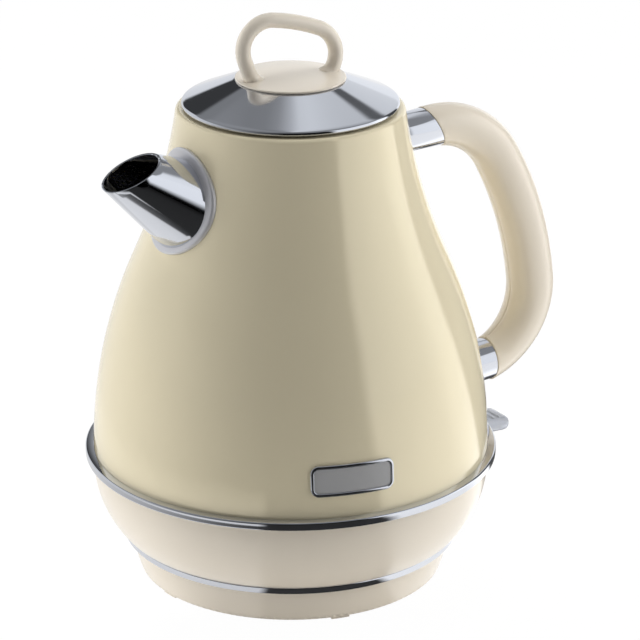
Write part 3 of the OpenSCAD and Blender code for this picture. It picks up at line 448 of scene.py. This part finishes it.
def makeBodyShell():
    s = body
    wall, edge, lipZ = s["wall"], s["edge"], s["top"] - s["lip"]  # the lip turns down into the pot
    outer = sidePoints(0.0, 2) + arcPoints(shoulderCentre, s["shoulder"], mouthDegrees, 90, 7)[1:]
    mouth = [(s["mouth"] + edge, s["top"]), (s["mouth"], s["top"] - edge), (s["mouth"], lipZ),
             (s["mouth"] + wall, lipZ), (s["mouth"] + wall, s["top"] - wall)]
    inner = (arcPoints(shoulderCentre, s["shoulder"] - wall, 90, mouthDegrees, 4)
             + sidePoints(-wall, 1)[::-1][1:])
    outline = [(s["radius"], s["foot"])] + outer + mouth + inner + [(s["radius"] - wall, s["foot"])]
    shell = lathe("bodyShell", outline, 192, 40)
    hole, reach = spout["hole"], 15
    cutter = lathe("holeCutter", [(0, -reach), (hole, -reach), (hole, reach), (0, reach)], 64)
    place(cutter, rootPoint, spoutOut, spoutUp)
    smooth(carve(shell, cutter), 40)
    return dress(shell, enamel, "kettle", "cream_paint", "body_shell")


makeBodyShell()
print("body shell made")


# trim rings

upperRing = {"inner": 81.4, "seat": 86.5, "outer": 90.0, "low": 53.4, "web": 1.5, "ledge": 57.1,
             "slope": 5.0, "bend": 0.8, "foot": 0.5}
lowerRing = {"inner": 68.5, "seat": 70.0, "outer": 73.7, "low": 16.6, "web": 2.7, "ledge": 19.8,
             "slope": 2.0, "bend": 0.7, "foot": 0.5}


def makeRing(name, r, rides, node):
    # a flat web inside, and outside an upright face between a small foot radius and the ledge's bend
    foot = arcPoints((r["outer"] - r["foot"], r["low"] + r["foot"]), r["foot"], -90, 0, 6)
    lift = radians(90 - r["slope"])
    run = r["outer"] - r["bend"] * (1 - cos(lift)) - r["seat"]
    height = r["ledge"] - run * tan(radians(r["slope"]))
    centre = (r["outer"] - r["bend"], height - r["bend"] * sin(lift))
    bend = arcPoints(centre, r["bend"], 0, 90 - r["slope"], 10)
    web = r["low"] + r["web"]
    seat = [(r["seat"], r["ledge"]), (r["seat"], web), (r["inner"], web)]
    outline = [(r["inner"], r["low"])] + foot + bend + seat
    return dress(lathe(name, outline, 224, 30), chrome, rides, "chrome", node)


makeRing("upperTrimRing", upperRing, "kettle", "body_trim_ring")
makeRing("lowerTrimRing", lowerRing, "base", "base_trim_ring")
print("trim rings made")


# lower shell

lowerShell = {"radius": 86.5, "top": 53.4, "flat": 3.4, "arc": 44.0, "wall": 2.2, "bottom": 20.15,
              "edge": 0.2, "foot": 0.5, "footIn": 0.75, "coverSeat": 71.5, "coverDeep": 2.4,
              "slotWidth": 19.7, "slotLow": 34.9, "slotHigh": 48.9, "slotFrom": 78, "slotTo": 98,
              "slotCorner": 1.6}


def makeLowerShell():
    s = lowerShell
    centre = (s["radius"] - s["arc"], s["top"] - s["flat"])
    innerArc, ledge = s["arc"] - s["wall"], s["bottom"] + s["coverDeep"]
    lean = -degrees(asin((centre[1] - s["bottom"] - s["foot"]) / s["arc"]))
    innerLean = -degrees(asin((centre[1] - ledge - s["edge"]) / innerArc))
    rim = [(s["radius"] - s["wall"], s["top"]), (s["radius"] - s["edge"], s["top"]),
           (s["radius"], s["top"] - s["edge"])]
    outer = arcPoints(centre, s["arc"], 0, lean, 22)
    inner = arcPoints(centre, innerArc, 0, innerLean, 16)
    foot = [(outer[-1][0] - s["footIn"], s["bottom"]), (s["coverSeat"], s["bottom"]),
            (s["coverSeat"], ledge), (inner[-1][0], ledge)]
    shell = lathe("lowerShell", rim + outer + foot + inner[::-1], 192, 34)
    half = s["slotWidth"] / 2
    slot = block("slotCutter", (s["slotFrom"], -half, s["slotLow"]), (s["slotTo"], half, s["slotHigh"]))
    soften(slot, s["slotCorner"], 4)
    smooth(carve(shell, slot), 34)
    return dress(shell, ivory, "kettle", "ivory_plastic", "bottom_shell")


makeLowerShell()
print("lower shell made")


# lid

lid = {"turn": -7.0, "radius": 46.3, "low": 210.5, "wall": 0.8, "bead": 1.15, "beadArc": (-80, 52),
       "beadIn": 1.6, "coneFoot": (0.75, 2.25), "innerFoot": (1.7, 1.9), "coneTop": 23.3, "coneLift": 0.1,
       "crown": 900.0, "hub": 17.6, "hubDeep": 3.4, "hubGap": 0.1, "discZ": 221.7, "disc": 23.6,
       "edge": 1.1, "dome": 1.5, "round": 0.5, "loop": 3.25, "loopStart": (-16.7, 221.3),
       "loopHeading": 117.0, "flare": 0.5, "flareFrom": 1.2, "flareWay": 1.3,
       # the legs go in short steps, so that they can widen into the disc
       "loopBends": ([[80, 1.0]] * 8 + [[80, 0.5], [12.2, 116.5], [85, 14.7], [13.1, 98.5]]
                     + [[42, 1.4]] * 3)}


def arcThrough(p, q, radius, count):
    # an arc from p to q that bulges to the right of the way
    dx, dy = q[0] - p[0], q[1] - p[1]
    length = hypot(dx, dy)
    up = sqrt(radius ** 2 - length ** 2 / 4)
    centre = ((p[0] + q[0]) / 2 - dy / length * up, (p[1] + q[1]) / 2 + dx / length * up)
    start = degrees(atan2(p[1] - centre[1], p[0] - centre[0]))
    return arcPoints(centre, radius, start, start + 2 * degrees(asin(length / 2 / radius)), count)


def turned(obj):
    # turns a piece of the lid to the way that the loop faces
    obj.rotation_euler = (0, 0, radians(lid["turn"]))
    return settle(obj)


def makeLidCover():
    s = lid
    top, under = s["discZ"] + s["coneLift"], s["discZ"] - s["wall"]
    foot = (s["radius"] - s["coneFoot"][0], s["low"] + s["coneFoot"][1])
    innerFoot = (s["radius"] - s["innerFoot"][0], s["low"] + s["innerFoot"][1])
    bead = arcPoints((s["radius"] - s["bead"], s["low"] + s["bead"]), s["bead"], *s["beadArc"], 10)
    cone = arcThrough(foot, (s["coneTop"], top), s["crown"], 18) + [(s["hub"], top)]
    inside = arcThrough(innerFoot, (s["coneTop"], under), s["crown"], 10) + [(s["hub"], under)]
    outline = [(s["radius"] - s["beadIn"], s["low"])] + bead + cone + inside[::-1]
    return dress(turned(lathe("lidCover", outline, 192, 30)), chrome, "lid", "chrome", "lid_cover")


def circleSection(radius, count=28):
    return [(radius * cos(2 * pi * i / count), radius * sin(2 * pi * i / count)) for i in range(count)]


def makeLidHandle():
    s = lid
    z, hub = s["discZ"], s["hub"] - s["hubGap"]
    low, dome = z + 0.2, z + s["edge"]
    sphere = (s["disc"] ** 2 + s["dome"] ** 2) / (2 * s["dome"])
    outline = ([(0, z - s["hubDeep"]), (hub, z - s["hubDeep"]), (hub, low), (s["disc"] - s["round"], low)]
               + arcPoints((s["disc"] - s["round"], low + s["round"]), s["round"], -90, 60, 5)
               + arcThrough((s["disc"] - 0.35, dome + 0.05), (0, dome + s["dome"]), sphere, 12))
    disc = lathe("lidHandle", outline, 144, 34)
    length = sum(radius * radians(angle) for radius, angle in s["loopBends"])

    def legWidth(way):
        # the legs widen into the disc
        reach = min(way, length - way)
        return 1 + s["flare"] * exp(-max(reach - s["flareFrom"], 0) / s["flareWay"])

    loop = sweep("lidLoop", circleSection(s["loop"]), s["loopStart"], s["loopHeading"], s["loopBends"],
                 3.0, legWidth)
    joinAll(disc, [smooth(loop, 50)])
    # the loop and disc wear the lighter ivory copy, which is painted light from above
    return dress(turned(disc), paintedLightIvory, "lid", "ivory_plastic", "lid_handle")


makeLidCover()
makeLidHandle()
print("lid made")


# spout and flange

flange = {"radius": 22.6, "inner": 17.2, "side": 0.9, "round": 0.8, "roundZ": 1.0,
          "crest": [(20.6, 1.75), (19.9, 1.6)], "top": 1.6}


def spoutRadius(back, inset=0.0):
    # the spout's radius so far behind its mouth
    taper = radians(spout["taper"])
    return spout["mouthRadius"] + back * tan(taper) - inset / cos(taper)


def makeSpoutTube():
    s = spout
    back, ahead = spoutLength + s["spareBack"], -s["spareAhead"]
    steps = [back + (ahead - back) * i / 12 for i in range(13)]
    outline = ([(spoutRadius(way), -way) for way in steps]
               + [(spoutRadius(way, s["wall"]), -way) for way in steps[::-1]])
    tube = lathe("spoutTube", outline, 96, 30)
    place(tube, mouthCentre, spoutOut, spoutUp)
    droop = radians(s["mouthDroop"])
    cutPlane(tube, mouthCentre, (-sin(droop), 0, cos(droop)))
    closeRing(tube)
    carve(tube, sideSolid(body["seat"]))
    soften(tube, s["edge"], 2, 40)
    return dress(smooth(tube, 30), chrome, "kettle", "chrome", "spout_tube")


def settleOnSide(obj, origin, out, up):
    # lays a flat piece, drawn about its own Z axis, on the body's side
    out, up = Vector(out), Vector(up)
    across = out.cross(up)
    for vertex in obj.data.vertices:
        point = origin + (up * vertex.co.x + across * vertex.co.y) / mm
        for _ in range(12):
            point = point - out * (hypot(point.x, point.y) - sideRadius(point.z))
        vertex.co = (point + out * vertex.co.z / mm) * mm
    obj.data.update()
    return obj


def makeSpoutFlange():
    s = flange
    corner = arcPoints((s["radius"] - s["round"], s["roundZ"]), s["round"], 0, 90, 5)
    outline = ([(s["inner"], body["seat"]), (s["radius"], body["seat"]), (s["radius"], s["side"])]
               + corner + s["crest"] + [(s["inner"], s["top"])])
    ring = lathe("spoutFlange", outline, 96, 34)
    settleOnSide(ring, rootPoint, rootOut, rootUp)
    return dress(smooth(ring, 34), flangeChrome, "kettle", "chrome", "spout_flange")


makeSpoutTube()
makeSpoutFlange()
print("spout made")


# grip and ferrules

grip = {"x": 71.9, "z": 188.8, "rise": 3.0, "mitre": 22.0, "radius": 10.7, "neck": 9.25, "heel": 9.75,
        "heelFrom": 0.7, "wall": 2.4, "seam": 0.35, "seamGap": 0.04, "joint": 0.3, "edge": 0.3,
        "bends": [[38.5, 62.5], [155, 24], [33.5, 78.5]]}
ferrule = {"end": 9.15, "root": 8.4, "low": 9.5, "lowRise": 3.0, "spareBack": 10.0, "spareAhead": 8.0,
           "lowSpare": 12.0, "edge": 0.25}


def wayAt(angle):
    # a direction in the XZ plane, so many degrees above X
    return Vector((cos(radians(angle)), 0, sin(radians(angle))))


gripStart = Vector((grip["x"], 0, grip["z"]))
gripAway = wayAt(grip["rise"])
mitreNormal = wayAt(grip["rise"] + grip["mitre"])
ferruleWay = -wayAt(ferrule["lowRise"])


def pathEnd(start, heading, bends):
    # where a run of bends comes out
    x, z, h = start.x, start.z, radians(heading)
    for radius, angle in bends:
        turn = radians(angle)
        x += radius * (sin(h) - sin(h - turn))
        z += radius * (cos(h - turn) - cos(h))
        h -= turn
    return Vector((x, 0, z))


gripEnd = pathEnd(gripStart, grip["rise"], grip["bends"])


def halfSection(side):
    # half of the grip's wall, with the edges at the seam rounded
    r, seam, gap = grip["radius"], grip["seam"], grip["seamGap"]
    corner = arcPoints((sqrt((r - seam) ** 2 - (gap + seam) ** 2), gap + seam), seam, -90, 0, 3)
    start = degrees(asin((gap + seam) / (r - seam)))
    outer = corner + arcPoints((0, 0), r, start, 180 - start, 26)[1:-1] + [(-x, y) for x, y in corner[::-1]]
    inner = arcPoints((0, 0), r - grip["wall"], 180 - 0.6, 0.6, 14)
    return [(x, y * side) for x, y in outer + inner]


def makeGripHalf(name, side, node):
    s = grip
    lead = s["radius"] * tan(radians(s["mitre"])) + 1
    start = gripStart - gripAway * lead
    length = sum(radius * radians(angle) for radius, angle in s["bends"])
    slim, heel = s["neck"] / s["radius"], s["heel"] / s["radius"]

    def gripWidth(way):
        # the grip swells from its slim upper end to the palm, and draws in again at its heel
        share = min(max(way - lead, 0) / length, 1)
        if share < 0.5:
            return slim + (1 - slim) * sin(share * pi)
        fall = max(share - s["heelFrom"], 0) / (1 - s["heelFrom"])
        return 1 + (heel - 1) * fall * fall * (3 - 2 * fall)

    half = sweep(name, halfSection(side), (start.x, start.z), s["rise"], [[0, lead]] + s["bends"] + [[0, 4]],
                 3.0, gripWidth)
    cutPlane(half, gripStart + mitreNormal * s["joint"] / 2, mitreNormal, keep="above", over=160)
    closeFace(half)
    cutPlane(half, gripEnd, ferruleWay, under=100)
    closeFace(half)
    soften(half, s["edge"], 2, 50)
    return dress(smooth(half, 40), ivory, "kettle", "ivory_plastic", node)


def finishFerrule(obj, node):
    # fits a ferrule to the body's side
    carve(obj, sideSolid(body["seat"]))
    soften(obj, ferrule["edge"], 2, 40)
    return dress(smooth(obj, 30), chrome, "kettle", "chrome", node)


def makeUpperFerrule():
    s = ferrule
    reach = (grip["x"] - sideRadius(grip["z"])) / cos(radians(grip["rise"]))
    slope = (s["end"] - s["root"]) / reach
    back, ahead = reach + s["spareBack"], s["spareAhead"]
    outline = [(0, -back), (s["end"] - slope * back, -back), (s["end"] + slope * ahead, ahead), (0, ahead)]
    upper = lathe("upperFerrule", outline, 96, 30)
    place(upper, gripStart, gripAway, (0, 1, 0))
    cutPlane(upper, gripStart - mitreNormal * grip["joint"] / 2, mitreNormal)
    return finishFerrule(closeFace(upper), "upper_ferrule")


def makeLowerFerrule():
    s = ferrule
    near = grip["joint"]
    far = (gripEnd.x - sideRadius(gripEnd.z)) / cos(radians(s["lowRise"])) + s["lowSpare"]
    lower = lathe("lowerFerrule", [(0, near), (s["low"], near), (s["low"], far), (0, far)], 96, 30)
    return finishFerrule(place(lower, gripEnd, ferruleWay, (0, 1, 0)), "lower_ferrule")


makeGripHalf("gripLeft", 1, "handle_left")
makeGripHalf("gripRight", -1, "handle_right")
makeUpperFerrule()
makeLowerFerrule()
print("grip and ferrules made")


# switch lever

lever = {"pivotX": 75.0, "pivotZ": 43.4, "droop": 2.5, "length": 38.8, "width": 16.0, "halfThick": 3.4,
         "round": 3.2, "edge": 0.2, "grooves": 3, "pitch": 3.2, "firstGroove": 32.4, "grooveZ": 4.1,
         "grooveRadius": 1.3, "grooveEnd": 2.0, "barrel": 4.0, "pin": 1.55, "arm": 26.0, "armWidth": 6.0,
         "armThick": 3.0, "toe": 3.0, "toeLow": -6.0, "armEdge": 0.3}


def makeLever():
    s = lever
    half, flat = s["width"] / 2, s["halfThick"]
    paddle = block("switchLever", (0, -half, -flat), (s["length"], half, flat))
    soften(paddle, s["round"], 6)
    for number in range(s["grooves"]):
        r, end = s["grooveRadius"], half - s["grooveEnd"]
        groove = lathe("grooveCutter", [(0, -end), (r, -end), (r, end), (0, end)], 32)
        at = (s["firstGroove"] - number * s["pitch"], 0, s["grooveZ"])
        carve(paddle, place(groove, at, (0, 1, 0), (1, 0, 0)))
    soften(paddle, s["edge"], 2, 50)
    r, pin = s["barrel"], s["pin"]
    barrel = lathe("leverBarrel", [(pin, -half), (r, -half), (r, half), (pin, half)], 64)
    place(barrel, (0, 0, 0), (0, 1, 0), (1, 0, 0))
    bore = lathe("boreCutter", [(0, -20), (r - 0.1, -20), (r - 0.1, 20), (0, 20)], 64)
    carve(paddle, place(bore, (0, 0, 0), (0, 1, 0), (1, 0, 0)))
    wide, thick = s["armWidth"] / 2, s["armThick"] / 2
    arm = block("leverArm", (-s["arm"], -wide, -thick), (0.2 - r, wide, thick))
    toe = block("leverToe", (-s["arm"], -wide, s["toeLow"]), (s["toe"] - s["arm"], wide, 0.1 - thick))
    joinAll(paddle, [barrel, soften(arm, s["armEdge"], 2, 40), soften(toe, s["armEdge"], 2, 40)])
    droop = radians(s["droop"])
    place(paddle, (s["pivotX"], 0, s["pivotZ"]), (sin(droop), 0, cos(droop)), (cos(droop), 0, -sin(droop)))
    return dress(smooth(paddle, 35), clearPlastic, "switch", "clear_plastic", "switch_lever")


makeLever()
print("switch lever made")


# badge: a chrome frame round a bare plate

badge = {"bearing": -104.3, "z": 73.6, "width": 36.5, "height": 13.6, "corner": 3.6, "rim": 1.5,
         "frameHeight": 0.5, "plateHeight": 0.35,
         # each step goes in by the first value and up by the second
         "frameSteps": [(0.06, 0.16), (0.12, 0.14), (0.2, 0.1), (0.37, 0.05), (0.37, -0.05), (0.2, -0.1),
                        (0.12, -0.14), (0.06, -0.16), (0.002, -0.45)],
         "plateSteps": [(0.1, 0.08), (0.5, 0.0), (0.9, 0.0)]}


def roundedOutline(inset=0.0, step=0.8):
    # points round the badge's rounded rectangle, close enough to bend
    wide, high = badge["width"] / 2 - inset, badge["height"] / 2 - inset
    corner = badge["corner"] - (badge["rim"] if inset else 0)
    points = []
    for x, y, turn in ((1, -1, -90), (1, 1, 0), (-1, 1, 90), (-1, -1, 180)):
        points += arcPoints((x * (wide - corner), y * (high - corner)), corner, turn, turn + 90, 8)
    fine = []
    for here, after in zip(points, points[1:] + points[:1]):
        count = max(1, round(hypot(after[0] - here[0], after[1] - here[1]) / step))
        fine += [(here[0] + (after[0] - here[0]) * i / count, here[1] + (after[1] - here[1]) * i / count)
                 for i in range(count)]
    return fine


def raisedPlate(name, outline, height, steps):
    # a flat outline raised to a height, then inset again and again, each time with its own lift
    obj = drawLine(name, [(x, y, body["seat"]) for x, y in outline + [outline[0]]])
    bpy.ops.object.mode_set(mode="EDIT")
    bpy.ops.mesh.select_all(action="SELECT")
    bpy.ops.mesh.remove_doubles(threshold=weld * mm)
    bpy.ops.mesh.edge_face_add()
    bpy.ops.mesh.extrude_region_move(TRANSFORM_OT_translate={"value": (0, 0, height * mm)})
    for thickness, lift in steps:
        bpy.ops.mesh.inset(thickness=thickness * mm, depth=0)
        bpy.ops.transform.translate(value=(0, 0, lift * mm))
    return obj


def makeBadge():
    s = badge
    bearing = radians(s["bearing"])
    out = Vector((cos(bearing), sin(bearing), 0))
    along = Vector((0, 0, 1)).cross(out)
    at = out * sideRadius(s["z"]) + Vector((0, 0, s["z"]))
    rim = raisedPlate("badgeFrame", roundedOutline(), s["frameHeight"], s["frameSteps"])
    bpy.ops.mesh.delete(type="ONLY_FACE")
    bpy.ops.mesh.select_all(action="DESELECT")
    bpy.ops.mesh.select_non_manifold(extend=False)
    settleOnSide(closeRing(rim), at, out, along)
    dress(smooth(tidyShell(rim), 50), chrome, "kettle", "chrome", "badge_frame")
    inner = roundedOutline(s["rim"] + body["seat"])
    plate = raisedPlate("badgePlate", inner, s["plateHeight"], s["plateSteps"])
    bpy.ops.mesh.select_all(action="SELECT")
    bpy.ops.mesh.quads_convert_to_tris(ngon_method="BEAUTY")
    bpy.ops.object.mode_set(mode="OBJECT")
    settleOnSide(plate, at, out, along)
    dress(smooth(tidyShell(plate), 30), badgeGrey, "kettle", "aluminium", "badge_plate")


makeBadge()
print("badge made")


# the remaining nodes: merged copies with their own finishes

finishOf = {
    "ivory_plastic": ivory, "chrome": chrome, "steel": steel, "aluminium": aluminium,
    "black_plastic": blackPlastic, "brass": brass, "clear_plastic": clearPlastic, "lamp_glass": lampGlass,
    "silicone": silicone, "cream_paint": enamel,
}
slotOf = {row["node"]: row["material_slot"] for row in frame["record"]["subparts"]}
bodyOf = {node: name for name, nodes in frame["record"]["behaviour"]["bodies"].items() for node in nodes}
stoodFor = {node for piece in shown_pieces() if "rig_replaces" in piece for node in piece["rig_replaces"]}
for node in sorted(set(slotOf) - stoodFor):
    dress(copyNode(node), finishOf[slotOf[node]], bodyOf[node], slotOf[node], node)
print("remaining nodes dressed")


# floor, light and camera

studio = {"floor": 7.0, "white": 1.0, "share": 0.96, "world": 0.045, "tint": (0.95, 0.97, 1.0, 1),
          "front": -122.0, "nearLight": 0.36, "nearBand": (0.11, 0.2),
          # bands of the floor by distance in metres, and of the room by height in degrees
          "table": [(0.15, 0.16), (0.205, 0.215), (0.24, 0.33)],
          "low": (11.0, 14.0), "wall": (32.0, 34.5), "line": (40.0, 43.0)}
# each lamp: metres to the right, away and up, its size, its watts and the point it faces
lamps = {"softboxRight": (1.1, 0.05, 0.55, (1.5, 0.9), 11.5, (0, 0, 0.12)),
         "softboxTop": (0.0, 0.2, 1.4, (0.9, 0.9), 7.0, (0, 0, 0.12)),
         "softboxLeft": (-1.1, 0.1, 0.45, (1.4, 0.9), 8.5, (0, 0, 0.12)),
         "softboxBack": (0.2, 1.5, 1.35, (2.6, 1.6), 6.5, (0, 0, 0.2))}
view = {"at": (-0.708, -1.133, 0.6245), "down": 20.96, "turn": -32.0, "lens": 185.7, "shift": 0.046}
# how bright the studio looks to polished surfaces: bearing from the camera (right is +), brightness
floorGlow = [(-180, 0.9), (-150, 0.9), (-100, 0.9), (-50, 0.85), (-14, 0.75), (-10, 0.0), (41, 0.0),
             (46, 1.1), (90, 1.1), (105, 1.5), (116, 1.5), (120, 0.05), (165, 0.05), (171, 0.9), (180, 0.95)]
lowGlow = [(-180, 0.9), (-150, 0.8), (-110, 0.75), (-70, 0.45), (-30, 0.1), (-8, 0.0), (42, 0.0),
           (49, 1.05), (90, 1.1), (105, 1.5), (116, 1.5), (120, 0.05), (142, 0.05), (146, 1.2), (180, 0.95)]
wallGlow = [(-180, 0.9), (-175, 0.85), (-170, 0.05), (-152, 0.05), (-147, 0.8), (-95, 0.75), (-70, 0.3),
            (-30, 0.1), (-8, 0.0), (42, 0.0), (49, 1.05), (90, 1.1), (105, 1.4), (116, 1.4), (120, 0.1),
            (142, 0.1), (149, 0.75), (168, 0.88), (180, 0.9)]
lineGlow = [(-180, 0.35), (-160, 0.25), (-120, 0.3), (-60, 0.2), (0, 0.1), (42, 0.1), (49, 1.05),
            (92, 1.0), (105, 0.3), (135, 0.3), (148, 0.13), (168, 0.13), (173, 0.45), (180, 0.45)]
ceilingGlow = [(-180, 0.55), (-172, 0.34), (-165, 0.27), (-158, 0.26), (-150, 0.34), (-100, 0.3),
               (0, 0.2), (60, 0.3), (117, 0.3), (145, 0.5), (152, 0.66), (160, 0.76), (167, 0.82),
               (174, 0.78), (180, 0.55)]
# how much light the floor throws back at the object, by bearing
tableGlow = [(-180, 0.4), (-130, 0.7), (-50, 0.7), (-28, 0.3), (-5, 0.05), (25, 0.05), (45, 0.3),
             (110, 0.42), (180, 0.4)]


def combine(tree, operation, first, second):
    # a Math node of an output and a second output or a number
    node = addNode(tree, "ShaderNodeMath", operation=operation)
    tree.links.new(first, node.inputs[0])
    if isinstance(second, float):
        node.inputs[1].default_value = second
    else:
        tree.links.new(second, node.inputs[1])
    return node.outputs[0]


def mixShaders(tree, share, low, high):
    mix = addNode(tree, "ShaderNodeMixShader")
    for source, socket in zip((share, low, high), mix.inputs):
        tree.links.new(source, socket)
    return mix.outputs["Shader"]


def glowRamp(tree, bearing, stops):
    # a ramp round the compass, with its brightest value taken out as a factor
    top = float(max(value for _, value in stops))
    ramp = addNode(tree, "ShaderNodeValToRGB")
    elements = ramp.color_ramp.elements
    while len(elements) < len(stops):
        elements.new(0.5)
    for element, (angle, value) in zip(elements, stops):
        element.position = angle / 360 + 0.5
        element.color = (value / top, value / top, value / top, 1)
    tree.links.new(bearing, ramp.inputs["Fac"])
    return combine(tree, "MULTIPLY", ramp.outputs["Color"], top)


def bearingOf(tree, coordinates):
    # 0 to 1 round the compass, 0.5 being the camera's way
    turn = addNode(tree, "ShaderNodeMapping", {"Rotation": (0, 0, radians(-studio["front"]))})
    radial = addNode(tree, "ShaderNodeTexGradient", gradient_type="RADIAL")
    tree.links.new(coordinates, turn.inputs["Vector"])
    tree.links.new(turn.outputs["Vector"], radial.inputs["Vector"])
    return radial.outputs["Fac"]


def blendAt(tree, height, band, low, high):
    # low below the band, high above it
    edge = addNode(tree, "ShaderNodeMapRange", {"From Min": band[0], "From Max": band[1]})
    tree.links.new(height, edge.inputs["Value"])
    mix = addNode(tree, "ShaderNodeMix", data_type="FLOAT")
    tree.links.new(edge.outputs["Result"], mix.inputs[0])
    tree.links.new(low, mix.inputs[2])
    tree.links.new(high, mix.inputs[3])
    return mix.outputs[0]


def makeFloor():
    bpy.ops.object.select_all(action="DESELECT")
    bpy.ops.mesh.primitive_plane_add(size=studio["floor"], location=(0, 0, 0))
    floor = bpy.context.object
    floor.name = "floor"
    material, tree, shader = startMaterial("paleFloor")
    setInputs(shader, {"Base Color": (0.9, 0.9, 0.9, 1), "Roughness": 0.8, "Specular IOR Level": 0.1,
                       "Emission Color": (1, 1, 1, 1)})
    where = addNode(tree, "ShaderNodeTexCoord")
    bearing = bearingOf(tree, where.outputs["Object"])
    away = addNode(tree, "ShaderNodeVectorMath", operation="LENGTH")
    tree.links.new(where.outputs["Object"], away.inputs[0])
    distance = away.outputs["Value"]
    # the pale table's light on the object, strongest right beside it
    beside = addNode(tree, "ShaderNodeMapRange",
                     {"From Min": studio["nearBand"][0], "From Max": studio["nearBand"][1],
                      "To Min": studio["nearLight"], "To Max": 0.0})
    tree.links.new(distance, beside.inputs["Value"])
    table = combine(tree, "MAXIMUM", beside.outputs["Result"], glowRamp(tree, bearing, tableGlow))
    tree.links.new(table, shader.inputs["Emission Strength"])
    # what polished surfaces see, in rings by distance
    close = glowRamp(tree, bearing, floorGlow)
    low = glowRamp(tree, bearing, lowGlow)
    glow = close
    for band, beyond in zip(studio["table"], (low, close, low)):
        glow = blendAt(tree, distance, band, glow, beyond)
    path = addNode(tree, "ShaderNodeLightPath")
    seen = combine(tree, "MAXIMUM", path.outputs["Is Camera Ray"], path.outputs["Is Transmission Ray"])
    strength = addNode(tree, "ShaderNodeMix", {3: studio["white"]}, data_type="FLOAT")
    light = addNode(tree, "ShaderNodeEmission", {"Color": (1, 1, 1, 1)})
    tree.links.new(seen, strength.inputs[0])
    tree.links.new(glow, strength.inputs[2])
    tree.links.new(strength.outputs[0], light.inputs["Strength"])
    direct = combine(tree, "MAXIMUM", seen, path.outputs["Is Glossy Ray"])
    share = combine(tree, "MULTIPLY", direct, studio["share"])  # the rest keeps the shadow
    surface = mixShaders(tree, share, shader.outputs["BSDF"], light.outputs["Emission"])
    tree.links.new(surface, tree.nodes["Material Output"].inputs["Surface"])
    floor.data.materials.append(material)


def makeWorld():
    world = bpy.data.worlds.new("studio")
    bpy.context.scene.world = world
    world.use_nodes = True
    tree = world.node_tree
    dim = setInputs(tree.nodes["Background"], {"Color": studio["tint"], "Strength": studio["world"]})
    where = addNode(tree, "ShaderNodeTexCoord")
    split = addNode(tree, "ShaderNodeSeparateXYZ")
    tree.links.new(where.outputs["Generated"], split.inputs["Vector"])
    bearing = bearingOf(tree, where.outputs["Generated"])
    walls = glowRamp(tree, bearing, lowGlow)
    for band, glow in (("low", wallGlow), ("wall", lineGlow), ("line", ceilingGlow)):
        heights = [sin(radians(angle)) for angle in studio[band]]
        walls = blendAt(tree, split.outputs["Z"], heights, walls, glowRamp(tree, bearing, glow))
    shine = addNode(tree, "ShaderNodeBackground", {"Color": studio["tint"]})
    tree.links.new(walls, shine.inputs["Strength"])
    white = addNode(tree, "ShaderNodeBackground", {"Color": (1, 1, 1, 1), "Strength": studio["white"]})
    path = addNode(tree, "ShaderNodeLightPath")
    seen = combine(tree, "MAXIMUM", path.outputs["Is Camera Ray"], path.outputs["Is Transmission Ray"])
    lit = mixShaders(tree, path.outputs["Is Glossy Ray"], dim.outputs["Background"],
                     shine.outputs["Background"])
    surface = mixShaders(tree, seen, lit, white.outputs["Background"])
    tree.links.new(surface, tree.nodes["World Output"].inputs["Surface"])


def addSoftbox(name, right, away, height, size, power, target):
    # a lamp out of view; polished surfaces see the studio's glow in its place
    turn = radians(view["turn"])
    at = (Vector((cos(turn), sin(turn), 0)) * right + Vector((-sin(turn), cos(turn), 0)) * away
          + Vector((0, 0, height)))
    bpy.ops.object.select_all(action="DESELECT")
    bpy.ops.object.light_add(type="AREA", location=at)
    lamp = bpy.context.object
    lamp.name = name
    lamp.data.shape = "RECTANGLE"
    lamp.data.size, lamp.data.size_y = size
    lamp.data.energy = power
    lamp.visible_glossy = False
    lamp.rotation_euler = (Vector(target) - at).to_track_quat("-Z", "Y").to_euler()


def addCamera():
    bpy.ops.object.select_all(action="DESELECT")
    bpy.ops.object.camera_add(location=view["at"],
                              rotation=(radians(90 - view["down"]), 0, radians(view["turn"])))
    camera = bpy.context.object
    camera.data.sensor_width = 36
    camera.data.lens = view["lens"]
    camera.data.shift_x = view["shift"]
    bpy.context.scene.camera = camera


makeFloor()
makeWorld()
for name, values in lamps.items():
    addSoftbox(name, *values)
addCamera()
bpy.context.scene.view_settings.view_transform = "Standard"
print("stage made")
